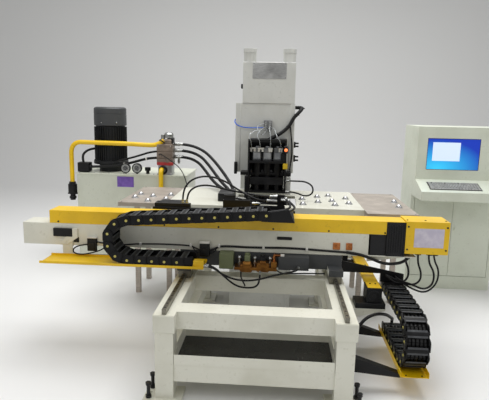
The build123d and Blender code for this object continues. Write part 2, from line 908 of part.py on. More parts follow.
def clamp_body(centre):
    """Lower jaw, long root block and the two ears that hold the upper jaw's pin."""
    x = (centre - clamp_width / 2, centre + clamp_width / 2)
    floor = clamp_floor
    jaw = block(x, (plate_back, clamp_reach), (floor, floor + jaw_thickness))
    root_end = left_root_end if centre == clamp_centres[0] else right_root_end
    root = block((x[0], root_end), (plate_back, plate_back + root_depth), (floor, root_top))
    ears = []
    for inner in (x[0], x[1] - clamp_ear):
        ear = (
            (plate_back + 1, floor),
            (plate_back + 1, root_top),
            (clamp_pin_y + 14, root_top),
            (clamp_pin_y + 28, clamp_pin_z),
            (clamp_pin_y + 60, floor + jaw_thickness - 1),
        )
        ears.append(prism_x(ear, inner, inner + clamp_ear))
    bore = rod(
        clamp_pin_radius + running_gap,
        (x[0] - 1, clamp_pin_y, clamp_pin_z),
        (x[1] + 1, clamp_pin_y, clamp_pin_z),
    )
    return (jaw + root + ears[0] + ears[1]) - bore


def clamp_jaw(centre):
    """Upper jaw with its pin, drawn shut and then swung open about the pin."""
    x = (centre - clamp_width / 2 + clamp_ear + 1, centre + clamp_width / 2 - clamp_ear - 1)
    plate_top = clamp_floor + jaw_thickness + 8
    outline = (
        (plate_back + root_depth + 10, clamp_pin_z - 12),
        (plate_back + root_depth + 10, clamp_pin_z + 16),
        (clamp_pin_y + 20, clamp_pin_z + 22),
        (clamp_reach - 20, clamp_pin_z + 2),
        (clamp_reach, plate_top + 14),
        (clamp_reach, plate_top),
        (clamp_reach - 30, plate_top),
        (clamp_pin_y + 20, clamp_pin_z - 12),
    )
    lever = prism_x(outline, *x)
    pin_ends = (x[0] - clamp_ear, x[1] + clamp_ear)
    pin = rod(clamp_pin_radius, (pin_ends[0], clamp_pin_y, clamp_pin_z), (pin_ends[1], clamp_pin_y, clamp_pin_z))
    hinge = Pos(0, clamp_pin_y, clamp_pin_z)
    return hinge * Rot(jaw_open, 0, 0) * hinge.inverse() * (lever + pin)


save("carriage_plate", carriage_plate())
save("chain_bracket", chain_bracket())
fitting_y_ends = (plate_back + 5, plate_back + root_depth - 5)
fitting_block = block((fitting_left, fitting_left + 50), fitting_y_ends, (root_top - 1, root_top + 80))
slab_left = clamp_centres[1] - clamp_width / 2
slab_top = root_top + 36
valve_slab = block((slab_left, slab_left + 190), (plate_back, plate_back + root_depth), (root_top - 1, slab_top))
box_y = (plate_back + 2, plate_back + root_depth - 2)
valve_box = block((slab_left + 6, slab_left + 84), box_y, (slab_top - 1, slab_top + 34))
save("clamp_bodies", clamp_body(clamp_centres[0]), clamp_body(clamp_centres[1]) + fitting_block + valve_slab + valve_box)
save("clamp_jaw_left", clamp_jaw(clamp_centres[0]))
save("clamp_jaw_right", clamp_jaw(clamp_centres[1]))


# Press
def c_outline(front_setback):
    """The C-frame's side view: nose, throat with cut corners, upper arm and back."""
    corner = throat_corner
    return (
        (press_nose + front_setback, 0),
        (press_back, 0),
        (press_back, press_top - 80),
        (press_back - 80, press_top),
        (press_front + front_setback, press_top),
        (press_front + front_setback, throat_roof),
        (throat_back - corner, throat_roof),
        (throat_back, throat_roof - corner),
        (throat_back, lower_jaw_top + corner),
        (throat_back - corner, lower_jaw_top),
        (press_nose + front_setback, lower_jaw_top),
    )


def press_frame():
    """Two thick C plates with the box body between them, a little behind their edges."""
    left = prism_x(c_outline(0), press_left, press_left + side_plate)
    right = prism_x(c_outline(0), press_right - side_plate, press_right)
    middle = prism_x(c_outline(panel_setback), press_left + side_plate - 1, press_right - side_plate + 1)
    return left + middle + right


def press_head():
    """Cylinder housing with a round capped post on top at each front corner."""
    body = block((head_left, head_right), (head_front, head_back), (press_top, head_top))
    body = chamfer(body.edges().filter_by(Axis.X).group_by(Axis.Z)[-1], 5)
    post_y = head_front + post_radius
    cap_low = post_top - 34
    for x in (head_left + post_radius, head_right - post_radius):
        body += rod(post_radius - 1, (x, post_y, head_top - 20), (x, post_y, cap_low))
        body += rod(post_radius + 2, (x, post_y, cap_low), (x, post_y, post_top))
    return body


frame_left = punch_centre - punch_frame_width / 2
frame_right = punch_centre + punch_frame_width / 2
punch_xs = [punch_centre + step * punch_pitch for step in (-1, 0, 1)]


def selector_frame():
    """Black frame on the press front: cheeks, ledge with three guide sleeves, roof and back."""
    y = (punch_frame_front, press_front)
    parts = []
    for x in ((frame_left, frame_left + frame_wall), (frame_right - frame_wall, frame_right)):
        parts.append(block(x, y, (punch_frame_low, punch_frame_high)))
    across = (frame_left + 1, frame_right - 1)
    parts.append(block(across, y, (guide_block_high - ledge_thickness, guide_block_high)))
    parts.append(block(across, y, (punch_frame_high - 21, punch_frame_high)))
    parts.append(block(across, (press_front - 20, press_front), (guide_block_low, punch_frame_high)))
    parts.append(block(across, y, (punch_frame_low, punch_frame_low + 15)))
    flange_x = (frame_left - 62, frame_right + 42)
    parts.append(block(flange_x, (punch_frame_front + 60, press_front), (guide_block_low, guide_block_low + 25)))
    for x in punch_xs:
        guide_z = (guide_block_low, guide_block_high - ledge_thickness + 1)
        parts.append(rod(guide_radius, (x, punch_y, guide_z[0]), (x, punch_y, guide_z[1])))
    frame = Part() + parts
    for x in punch_xs:
        frame -= rod(plunger_radius + running_gap, (x, punch_y, guide_block_low - 1), (x, punch_y, guide_block_high + 1))
        guide = ((x, punch_y, punch_frame_low - 1), (x, punch_y, punch_frame_low + 16))
        frame -= rod(holder_radius + running_gap, *guide)
    return frame


def selectors():
    """Three square selector cylinders on the ledge, and the air manifold above the frame."""
    cylinders = []
    for x in punch_xs:
        half = selector_width / 2
        body = block((x - half, x + half), (punch_y - half, punch_y + half), (guide_block_high, selector_top))
        cylinders.append(chamfer(body.edges().filter_by(Axis.Z), 9))
    manifold = block((-28, 38), (press_front + panel_setback - 42, press_front + panel_setback), (1425, 1500))
    return cylinders + [manifold]


def ram():
    """Crosshead with three plungers, and three punches hung under it."""
    y = (punch_y - 60, punch_y + 60)
    crosshead = block((frame_left + 18, frame_right - 18), y, (crosshead_low, crosshead_high))
    for x in punch_xs:
        crosshead += rod(plunger_radius, (x, punch_y, crosshead_high - 1), (x, punch_y, guide_block_high - 6))
    punches = []
    for x in punch_xs:
        holder = rod(holder_radius, (x, punch_y, holder_low), (x, punch_y, crosshead_low))
        tip = rod(punch_radius, (x, punch_y, punch_tip), (x, punch_y, holder_low + 1))
        punches.append(holder + tip)
    return [crosshead] + punches


def die_set():
    """Stepped die base on the lower jaw, three dies in it, and the port block at its left."""
    step = die_seat - die_step
    lower = block((punch_centre - 200, punch_centre + 200), (600, 1000), (lower_jaw_top, step))
    upper = block((punch_centre - 165, punch_centre + 165), (700, 960), (step - 1, die_seat))
    base = lower + upper
    dies = []
    for x in punch_xs:
        base -= rod(punch_radius + 4, (x, punch_y, die_seat - 60), (x, punch_y, die_seat + 1))
        die = rod(die_radius, (x, punch_y, die_seat), (x, punch_y, die_top))
        dies.append(die - rod(punch_radius + die_gap, (x, punch_y, die_seat - 1), (x, punch_y, die_top + 1)))
    ports = block((-372, -248), (640, 900), (table_top, table_top + 62))
    ports = chamfer(ports.edges().filter_by(Axis.Z), 8)
    return [base] + dies + [ports]


def press_cables():
    """Loom and cable clipped down the press's right side, and the blue air tube."""
    face = press_front
    on_plate = face - seat_gap
    loom = [(press_right, face + 96, 1606), (258, face + 96, 1606), (284, face + 34, 1604)]
    loom += [(262, face - 20, 1574), (214, on_plate - 15, 1526)]
    loom += [(178, face - 20, 1452), (116, face - 28, 1396), (52, face - 42, 1364), (6, face - 50, 1338)]
    cable = [(188, on_plate - 12, 1462), (196, on_plate - 10, 1390), (210, on_plate - 5.5, 1290)]
    cable += [(210, on_plate - 5.5, 1190), (198, face - 14, 1130), (198, face - 14, guide_block_low + 25)]
    air = [(-270, face + 60, 1500), (-276, face - 6, 1478), (-235, face - 20, 1446), (-150, face - 22, 1432)]
    air += [(-28.5, face - 14, 1440)]
    return tube(loom, 30) + tube(cable, 11), tube(air, 9)


save("press_frame", press_frame())
save("press_head", press_head())
save("selector_frame", selector_frame())
save("selectors", *selectors())
save("ram", *ram())
save("die_set", *die_set())
save("press_cables", *press_cables())

# Tables
plate_low = table_top - table_sheet


def centre_table():
    """Cream table plate with a hole for the dies, an apron all round and two legs a side."""
    half = centre_table_half
    y = (table_front, centre_table_back)
    top = block((-half, half), y, (plate_low, table_top))
    top -= block((punch_centre - 240, punch_centre + 240), (press_nose, 1010), (plate_low - 1, table_top + 1))
    parts = [top]
    apron = table_sheet
    parts.append(block((-half, half), (table_front, table_front + apron), (table_top - front_apron, table_top)))
    low = lower_jaw_top + 25
    parts.append(block((-half, half), (centre_table_back - apron, centre_table_back), (low, table_top)))
    for side in (-1, 1):
        parts.append(block(span(side, half - apron, half), y, (low, table_top)))
        for centre in (bed_back + 75, centre_table_back - 70):
            leg_x = span(side, 570, 570 + table_leg)
            leg_y = (centre - table_leg / 2, centre + table_leg / 2)
            parts.append(block(leg_x, leg_y, (0, plate_low + 1)))
    return Part() + parts


def side_tables():
    """Two steel roller tables, each a folded top on four square legs."""
    tables = []
    for side in (-1, 1):
        near = centre_table_half
        far = near + side_table_width
        y = (table_front if side < 0 else right_table_front, side_table_back)
        outer = block(span(side, near, far), y, (table_top - side_apron, table_top))
        inner_y = (y[0] + sheet, y[1] - sheet)
        inner = block(span(side, near + sheet, far - sheet), inner_y, (table_top - side_apron - 1, table_top - 4))
        top = outer - inner
        for x in (near + 30, far - 70):
            for centre in (bed_back + 35, side_table_back - 60):
                leg_y = (centre - 20, centre + 20)
                top += block(span(side, x, x + 40), leg_y, (0, table_top - 3))
        tables.append(top)
    return tables


def ball_units():
    """Ball transfer units: the crown of each ball stands above the table."""
    left = ((-1054, 690), (-924, 764), (-790, 840), (-914, 550), (-790, 644), (-1046, 842))
    middle = ((304, 848), (437, 972), (536, 1042), (427, 730), (545, 798))
    middle += ((302, 619), (551, 621), (670, 707), (672, 936))
    right = ((1053, 844), (1043, 624))
    balls = []
    for x, y in left + middle + right:
        ball = Pos(x, y, table_top + 3) * Sphere(ball_radius)
        keep = block((x - 30, x + 30), (y - 30, y + 30), (table_top, table_top + 30))
        balls.append(ball & keep)
    return balls


save("centre_table", centre_table())
save("side_tables", *side_tables())
save("ball_units", *ball_units())


# Power pack
def oil_tank():
    """Tank on four feet with a rimmed lid, and the filter housing at its left side."""
    body = block((tank_left + 12, tank_right - 12), (tank_front + 12, tank_back - 12), (tank_foot, tank_top - 10))
    lid = block((tank_left, tank_right), (tank_front, tank_back), (tank_top - 12, tank_top))
    for x in (tank_left + 60, tank_right - 60):
        for y in (tank_front + 60, tank_back - 60):
            body += block((x - 40, x + 40), (y - 40, y + 40), (0, tank_foot + 1))
    bracket = block((tank_left - 90, tank_left + 13), (tank_front + 14, tank_front + 80), (700, 713))
    housing = rod(44, (tank_left - 46, tank_front + 35, 712), (tank_left - 46, tank_front + 35, 800))
    return body + lid + bracket + housing


def pump_motor():
    """Upright finned motor on its flange, and the dark fan cover on top of it."""
    core = rod(motor_radius - 16, (motor_x, motor_y, motor_low), (motor_x, motor_y, motor_high))
    fin_reach = motor_radius
    fins = Part()
    for step in range(12):
        fin = block((-fin_reach, fin_reach), (-3.5, 3.5), (motor_low + 12, motor_high - 8))
        fins += Pos(motor_x, motor_y, 0) * Rot(0, 0, step * 15) * fin
    flange = rod(motor_radius + 10, (motor_x, motor_y, motor_low - 30), (motor_x, motor_y, motor_low + 1))
    bell = rod(motor_radius - 45, (motor_x, motor_y, tank_top), (motor_x, motor_y, motor_low - 29))
    cover = rod(motor_radius - 2, (motor_x, motor_y, motor_high), (motor_x, motor_y, motor_fan_top))
    cover = chamfer(cover.edges().group_by(Axis.Z)[-1], 18)
    terminal = block((motor_x - 60, motor_x + 60), (motor_y + 140, motor_y + 220), (motor_low + 120, motor_low + 220))
    return core + fins + flange + bell + terminal, cover


def tank_instruments():
    """Terminal box, two pressure gauges, filler cap and the cable across the lid."""
    box_right = tank_left + 140
    box = block((tank_left + 20, box_right), (tank_front + 25, tank_front + 120), (tank_top, tank_top + 112))
    box = chamfer(box.edges().filter_by(Axis.Z), 10)
    pieces = [box]
    for x in (-1415, -1299):
        z = tank_top + 8 + gauge_radius
        face_y = tank_front + 14
        gauge = rod(gauge_radius, (x, face_y, z), (x, face_y + 34, z))
        pieces.append(gauge + block((x - 9, x + 9), (face_y + 8, face_y + 26), (tank_top, z)))
    pieces.append(rod(26, (-1200, tank_front + 70, tank_top), (-1200, tank_front + 70, tank_top + 52)))
    lid_z = tank_top + 40
    route = [(box_right, tank_front + 55, lid_z + 28), (box_right + 95, tank_front + 55, lid_z + 28)]
    route += [(-1560, tank_front + 56, lid_z + 20), (-1400, tank_front + 76, lid_z + 48)]
    route += [(-1260, tank_front + 92, lid_z + 96), (-1180, tank_front + 100, lid_z + 112)]
    route += [(valve_x - 70, tank_front + 100, lid_z + 112)]
    pieces.append(tube(route, 26))
    return pieces


def valve_stack():
    """Valve block on the lid with its stacked valves and the hose fittings at its right."""
    y = (valve_y - 70, valve_y + 70)
    base = block((valve_x - 70, valve_x + 70), y, (tank_top, 1075))
    middle = block((valve_x - 66, valve_x + 66), (valve_y - 60, valve_y + 60), (1074, 1130))
    body = block((valve_x - 70, valve_x + 72), y, (1129, 1270))
    top = block((valve_x - 48, valve_x + 60), (valve_y - 45, valve_y + 45), (1269, 1345))
    stack = base + middle + body + top
    for z in fitting_heights:
        stack += rod(22, (valve_x + 60, valve_y + 40, z), (hose_start_x, valve_y + 40, z))
    return stack


fitting_heights = (1096, 1160, 1224)
hose_start_x = valve_x + 100


def oil_pipes():
    """The long yellow suction pipe over the lid, and the short one down to the lid."""
    pipe_x = tank_left - 46
    pipe_y = tank_front + 35
    route = [(pipe_x, pipe_y, 800), (pipe_x, pipe_y, 1235), (valve_x - 70, pipe_y, 1235)]
    bend = 90
    path = FilletPolyline(*route, radius=bend)
    section = Plane(origin=route[0], z_dir=(0, 0, 1)) * Circle(pipe_radius)
    short = rod(pipe_radius, (valve_x - 30, tank_front - 26, 760), (valve_x - 30, tank_front - 26, 1010))
    elbow = rod(pipe_radius, (valve_x - 30, tank_front - 40, 990), (valve_x - 30, valve_y - 70, 990))
    return sweep(section, path=path), short + elbow


save("oil_tank", oil_tank())
save("pump_motor", *pump_motor())
save("tank_instruments", *tank_instruments())
save("valve_stack", valve_stack())
save("oil_pipes", *oil_pipes())


# Console
door_low = plinth + 64
door_high = desk_low - free_gap - door_end_gap


def hinge_place(side):
    """Where a door's upright hinge pin stands, inside the door's outer edge."""
    inset = cheek + door_side_gap + hinge_inset
    x = console_left + inset if side < 0 else console_right - inset
    return x, lower_front + door_thickness / 2


def console_cabinet():
    """Cabinet: tall upper housing, and a set-back lower one between side cheeks."""
    upper = block((console_left, console_right), (console_front, console_back), (desk_rear, console_top))
    lower = block((console_left, console_right), (lower_front, console_back), (0, desk_rear + 1))
    recess_x = (console_left + cheek, console_right - cheek)
    recess = block(recess_x, (lower_front - 1, console_back - sheet), (door_low - door_end_gap, door_high + door_end_gap))
    for side in (-1, 1):
        x, y = hinge_place(side)
        ends = (door_low - hinge_reach - 1, door_high + hinge_reach + 1)
        recess += rod(hinge_radius + running_gap, (x, y, ends[0]), (x, y, ends[1]))
    screen_x = (screen_left, screen_right)
    pocket = block(screen_x, (console_front - 1, console_front + 12), (screen_low, screen_high))
    return upper + lower - recess - pocket


def console_desk():
    """Sloped desk with a pocket in its top, and the keyboard that lies in it."""
    outline = (
        (lower_front, desk_low),
        (lower_front, desk_rear),
        (console_front, desk_rear),
        (desk_front, desk_lip),
        (desk_front, desk_low),
    )
    desk = prism_x(outline, console_left, console_right)
    cabinet_room = block((console_left - 1, console_right + 1), (console_front, lower_front + 1), (desk_rear, 1100))
    slope = atan2(desk_rear - desk_lip, console_front - desk_front)
    middle_y = (console_front + desk_front) / 2
    middle_z = (desk_rear + desk_lip) / 2
    lean = Pos(0, middle_y, middle_z) * Rot(degrees(slope), 0, 0)
    keyboard_x = (1375, 1810)
    pocket = lean * block((keyboard_x[0], keyboard_x[1]), (-78, 72), (-14, 10))
    keyboard = lean * block((keyboard_x[0] + 3, keyboard_x[1] - 3), (-75, 69), (-14, -2))
    return desk - cabinet_room - pocket, keyboard


def console_door(side):
    """One of two lower doors, hinged at its outer edge."""
    middle = (console_left + console_right) / 2
    edge = cheek + door_side_gap
    outer = console_left + edge if side < 0 else console_right - edge
    inner = middle + side * door_gap / 2
    x = tuple(sorted((outer, inner)))
    panel = block(x, (lower_front, lower_front + door_thickness), (door_low, door_high))
    pin_x, pin_y = hinge_place(side)
    panel += rod(hinge_radius, (pin_x, pin_y, door_low - hinge_reach), (pin_x, pin_y, door_high + hinge_reach))
    knob_x = inner + side * 28
    knob = rod(9, (knob_x, lower_front - 16, 560), (knob_x, lower_front + 1, 560))
    return panel + knob


def console_screen():
    """Flat screen set in the upper housing."""
    x = (screen_left + screen_gap, screen_right - screen_gap)
    z = (screen_low + screen_gap, screen_high - screen_gap)
    return block(x, (console_front + 2, console_front + 12), z)


save("console_cabinet", console_cabinet())
save("console_desk", *console_desk())
save("console_door_left", console_door(-1))
save("console_door_right", console_door(1))
save("console_screen", console_screen())

# Cords and hoses, each by its chosen points
pack_hose_diameter = 28
clamp_hose_diameter = 13
loop_hose_diameter = 13
saddle_hose_diameter = 12
motor_cable_diameter = 13
y_cable_diameter = 20

pack_hose_a = [
    (hose_start_x, 1740, fitting_heights[0]), (-820, 1740, 1096), (-690, 1640, 1064), (-590, 1450, 1005),
    (-510, 1260, 955), (-425, 1110, 910), (-345, 1000, 890), (-345, 900, 890),
]
pack_hose_b = [
    (hose_start_x, 1740, fitting_heights[1]), (-810, 1740, 1160), (-660, 1650, 1118), (-550, 1470, 1042),
    (-462, 1280, 980), (-385, 1125, 930), (-309, 1000, 890), (-309, 900, 890),
]
pack_hose_c = [
    (hose_start_x, 1740, fitting_heights[2]), (-800, 1740, 1224), (-630, 1660, 1172), (-505, 1490, 1088),
    (-412, 1300, 1022), (-335, 1135, 960), (-273, 1000, 890), (-273, 900, 890),
]
save("pack_hose_a", tube(pack_hose_a, pack_hose_diameter))
save("pack_hose_b", tube(pack_hose_b, pack_hose_diameter))
save("pack_hose_c", tube(pack_hose_c, pack_hose_diameter))

fitting_y = plate_back + 20
clamp_hose_a = [
    (-560, fitting_y, root_top), (-560, fitting_y, 1005), (-530, 180, 1074), (-460, 210, 1112), (-370, 220, 1116),
    (-270, 220, 1085), (-170, 206, 1024), (-90, 186, 984), (-20, 160, 966), (40, fitting_y, 966),
    (fitting_left, fitting_y, 966),
]
clamp_hose_b = [
    (-530, fitting_y, root_top), (-530, fitting_y, 990), (-490, 172, 1040), (-420, 190, 1058), (-340, 202, 1048),
    (-240, 218, 1020), (-130, 220, 1004), (-50, 186, 998), (25, fitting_y, 996),
    (fitting_left, fitting_y, 996),
]
save("clamp_hose_a", tube(clamp_hose_a, clamp_hose_diameter))
save("clamp_hose_b", tube(clamp_hose_b, clamp_hose_diameter))

loop_hose = [
    (frame_right, 770, 1022), (240, 770, 1022), (325, 764, 1022), (385, 758, 985),
    (385, 755, 925), (325, 752, 900), (240, 750, 936), (frame_right, 750, 936),
]
save("loop_hose", tube(loop_hose, loop_hose_diameter))

saddle_hose_a = [
    (x_tray_right, -222, 604), (-300, -222, 604), (-230, -204, 530), (-150, -196, 462), (-70, -192, 450),
    (-10, -188, 462), (4, -162, 512), (4, -162, 562),
]
saddle_hose_b = [
    (x_tray_right, -248, 604), (-300, -248, 604), (-235, -242, 552), (-150, -236, 518), (-60, -232, 514),
    (20, -230, 530), (100, -230, 558), (195, -228, 580), (250, -205, 590), (250, -150, 590),
]
save("saddle_hose_a", tube(saddle_hose_a, saddle_hose_diameter))
save("saddle_hose_b", tube(saddle_hose_b, saddle_hose_diameter))

chain_bar_front = y_upper_end - 20
motor_cable_a = [
    (1040, -8, plug_low), (1040, -8, 612), (1068, -14, 548), (1062, -28, 490), (1010, -40, 464),
    (950, -5, 464), (950, chain_bar_front, 464),
]
motor_cable_b = [
    (1115, 8, plug_low), (1115, 8, 612), (1158, 0, 545), (1148, -24, 470), (1084, -56, 440),
    (1000, -66, 478), (918, -12, 488), (918, chain_bar_front, 488),
]
save("motor_cable_a", tube(motor_cable_a, motor_cable_diameter))
save("motor_cable_b", tube(motor_cable_b, motor_cable_diameter))

y_cable = [
    (leg_outer - 10, -330, 190), (566, -330, 190), (622, -310, 262), (672, -286, 322), (745, -262, 346),
    (818, -206, 320), (868, -120, 264), (898, -40, 226), (905, 4, 196), (905, 4, 150),
]
save("y_cable", tube(y_cable, y_cable_diameter))
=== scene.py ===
from math import cos, degrees, pi, radians, sin

import bmesh
import bpy
import numpy as np
from mathutils import Matrix, Vector


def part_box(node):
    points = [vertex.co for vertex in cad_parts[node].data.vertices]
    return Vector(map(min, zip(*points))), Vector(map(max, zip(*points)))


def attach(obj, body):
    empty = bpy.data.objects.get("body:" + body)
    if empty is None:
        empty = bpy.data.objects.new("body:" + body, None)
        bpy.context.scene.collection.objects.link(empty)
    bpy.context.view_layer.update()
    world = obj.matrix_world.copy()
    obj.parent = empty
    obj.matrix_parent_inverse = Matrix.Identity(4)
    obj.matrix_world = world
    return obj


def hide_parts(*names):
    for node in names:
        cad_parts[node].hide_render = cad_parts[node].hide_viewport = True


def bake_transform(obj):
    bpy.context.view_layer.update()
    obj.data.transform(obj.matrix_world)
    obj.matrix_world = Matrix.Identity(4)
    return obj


bl_info = {
    "name": "Plate punching machine",
    "version": (1, 0, 0),
    "blender": (4, 5, 0),
    "location": "View3D > Sidebar > Punching machine",
    "description": "Dresses the plate punching machine: paint, chains, hoses, fasteners and fittings",
    "category": "Add Mesh",
}

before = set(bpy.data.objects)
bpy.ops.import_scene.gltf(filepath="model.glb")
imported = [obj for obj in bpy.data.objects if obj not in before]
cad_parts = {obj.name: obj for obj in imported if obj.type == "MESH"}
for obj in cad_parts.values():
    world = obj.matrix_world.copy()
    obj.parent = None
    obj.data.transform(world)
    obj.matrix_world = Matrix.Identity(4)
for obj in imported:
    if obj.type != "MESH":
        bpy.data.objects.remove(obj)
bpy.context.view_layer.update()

PER_METRE = 1000  # shapes are made in mm, and the scene is in metres
X, Y, Z = np.eye(3)


# Materials: a source is a (node, output) pair
def linear(hex_colour):
    """An sRGB hex colour as linear RGBA: each channel is raised by the sRGB curve."""
    channels = [int(hex_colour[i:i + 2], 16) / 255 for i in (1, 3, 5)]
    return (*[c / 12.92 if c <= 0.04045 else ((c + 0.055) / 1.055) ** 2.4 for c in channels], 1.0)


def add(tree, kind, output=None, settings=(), **sockets):
    """Adds a node with its settings and links, and gives the source (node, output). A socket
    takes a number, a hex colour, or the source that feeds it."""
    node = tree.nodes.new("ShaderNode" + kind)
    for name, value in dict(settings).items():
        setattr(node, name, value)
    for name, value in sockets.items():
        socket = node.inputs[int(name[1:]) if name[1:].isdigit() else name.replace("_", " ")]
        if isinstance(value, tuple) and isinstance(value[0], bpy.types.Node):
            tree.links.new(value[0].outputs[value[1]], socket)
        else:
            socket.default_value = linear(value) if isinstance(value, str) else value
    return node, output


def shader(name, **sockets):
    """A new material with its Principled shader, and the object coordinates in metres."""
    material = bpy.data.materials.new(name)
    material.use_nodes = True
    tree = material.node_tree
    surface = tree.nodes["Principled BSDF"]
    for key, value in sockets.items():
        surface.inputs[key.replace("_", " ")].default_value = value
    return material, tree, surface, add(tree, "TexCoord", "Object")


def feed(tree, source, surface, *sockets):
    """Joins a source to sockets of the Principled shader."""
    for socket in sockets:
        tree.links.new(source[0].outputs[source[1]], surface.inputs[socket])


def speckle(tree, place, size_mm, detail, stretch=(1, 1, 1)):
    """Noise whose blotches are about size_mm across, longer along an axis with a low stretch."""
    spread = add(tree, "Mapping", "Vector", Vector=place, Scale=stretch)
    return add(tree, "TexNoise", "Fac", Vector=spread, Scale=PER_METRE / size_mm, Detail=detail)


def dress(tree, surface, share, colours, worn, roughs, skin, depth_mm):
    """Feeds the shader two colours mixed by a share, a roughness that goes from one value to
    another as worn goes from 0 to 1, and a skin raised by up to depth_mm."""
    colour = add(tree, "Mix", "Result", {"data_type": "RGBA"}, _0=share, _6=colours[0], _7=colours[1])
    rough = add(tree, "MapRange", "Result", Value=worn, To_Min=roughs[0], To_Max=roughs[1])
    bump = add(tree, "Bump", "Normal", Height=skin, Distance=depth_mm / PER_METRE, Strength=1.0)
    feed(tree, colour, surface, "Base Color")
    feed(tree, rough, surface, "Roughness")
    feed(tree, bump, surface, "Normal")


def sprayed_paint(name, fresh, aged, roughness, peel_mm=5.0, coat=0.25, shine=0.5):
    """Two-pack machine paint over steel: a faint orange peel, dust and grime that gathers in
    broad patches and small dots, and a thin gloss."""
    material, tree, surface, place = shader(
        name, IOR=1.5, Specular_IOR_Level=shine, Coat_Weight=coat, Coat_Roughness=0.22)
    patches, dots = (
        add(tree, "MapRange", "Result", Value=speckle(tree, place, size_mm, detail),
            From_Min=low, From_Max=high, To_Max=0.5)
        for size_mm, detail, low, high in ((240, 6.0, 0.45, 0.75), (22, 8.0, 0.58, 0.74)))
    dirt = add(tree, "Math", "Value", {"operation": "MAXIMUM"}, _0=patches, _1=dots)
    roughs = (roughness, min(roughness + 0.2, 0.9))
    dress(tree, surface, dirt, (fresh, aged), dirt, roughs, speckle(tree, place, peel_mm, 2.0), 0.12)
    return material


def ground_metal(name, light, dark, roughness, grain, line_mm=1.6, metallic=1.0):
    """Ground or brushed metal: fine lines along the grinding direction, drawn as coarse as
    they need to show, with broad stains from handling."""
    material, tree, surface, place = shader(name, Metallic=metallic)
    lines, stains = speckle(tree, place, line_mm, 4.0, grain), speckle(tree, place, 120, 5.0)
    stained = add(tree, "Math", "Value", {"operation": "MULTIPLY"}, _0=lines, _1=stains)
    share = add(tree, "MapRange", "Result", Value=stained, From_Min=0.12, From_Max=0.42)
    smooth = add(tree, "MapRange", "Result", Value=lines, From_Min=0.3, From_Max=0.7)
    dress(tree, surface, share, (dark, light), smooth, (roughness + 0.12, roughness), lines, 0.03)
    return material


def cast_metal(name, light, dark, roughness, metallic, grain_mm=2.5):
    """Sand-cast, plated or blackened metal: a fine pebbled skin with oily darker patches."""
    material, tree, surface, place = shader(name, Metallic=metallic)
    oil = add(tree, "MapRange", "Result", Value=speckle(tree, place, 60, 4.0), From_Min=0.35, From_Max=0.68)
    skin = speckle(tree, place, grain_mm, 4.0)
    dress(tree, surface, oil, (light, dark), oil, (roughness, roughness * 0.7), skin, 0.15)
    return material


def moulded_plastic(name, light, dark, roughness, grain_mm=1.8, depth_mm=0.08, shine=0.5):
    """Moulded plastic or rubber: an even colour with a spark-eroded grain and dust in patches."""
    material, tree, surface, place = shader(name, IOR=1.5, Specular_IOR_Level=shine)
    dust = add(tree, "MapRange", "Result", Value=speckle(tree, place, 45, 5.0), From_Min=0.4, From_Max=0.7)
    roughs, skin = (roughness, min(roughness + 0.15, 0.95)), speckle(tree, place, grain_mm, 2.0)
    dress(tree, surface, dust, (dark, light), dust, roughs, skin, depth_mm)
    return material


def clear_polymer(name, colour, transmission):
    """Clear or tinted plastic: light passes through, with a sharp highlight."""
    return shader(name, Base_Color=linear(colour), Transmission_Weight=transmission, Roughness=0.12, IOR=1.5)[0]


def polished_steel(name, colour):
    """Bare steel polished to a mirror."""
    return shader(name, Base_Color=linear(colour), Metallic=1.0, Roughness=0.12)[0]


def lit_lens(name, colour, glow):
    """The lens of a lamp that is on."""
    return shader(
        name, Base_Color=linear(colour), Roughness=0.25, Emission_Color=linear(glow), Emission_Strength=1.2)[0]


def lit_panel(name, deep, bright, pale):
    """Flat display: a deep field that turns bright toward its lower left, and a pale panel on it."""
    material, tree, surface, place = shader(name, Roughness=0.25, Emission_Strength=0.72)
    low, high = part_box("console_screen")
    across, up = (
        add(tree, "MapRange", "Result", Value=add(tree, "SeparateXYZ", axis, Vector=place),
            From_Min=low[index], From_Max=high[index])
        for axis, index in (("X", 0), ("Z", 2)))
    both = add(tree, "CombineXYZ", "Vector", X=across, Y=up, Z=0.0)
    far = add(tree, "VectorMath", "Value", {"operation": "DISTANCE"}, _0=both, _1=(0.2, 0.02, 0.0))
    near = add(tree, "MapRange", "Result", Value=far, From_Min=0.05, From_Max=0.95, To_Min=1.0, To_Max=0.0)
    field = add(tree, "Mix", "Result", {"data_type": "RGBA"}, _0=near, _6=deep, _7=bright)
    panel = 1.0
    for source, first, second in ((across, 0.10, 0.63), (up, 0.28, 0.88)):
        for operation, edge in (("GREATER_THAN", first), ("LESS_THAN", second)):
            inside = add(tree, "Math", "Value", {"operation": operation}, _0=source, _1=edge)
            panel = add(tree, "Math", "Value", {"operation": "MULTIPLY"}, _0=inside, _1=panel)
    colour = add(tree, "Mix", "Result", {"data_type": "RGBA"}, _0=panel, _6=field, _7=pale)
    feed(tree, colour, surface, "Base Color", "Emission Color")
    return material


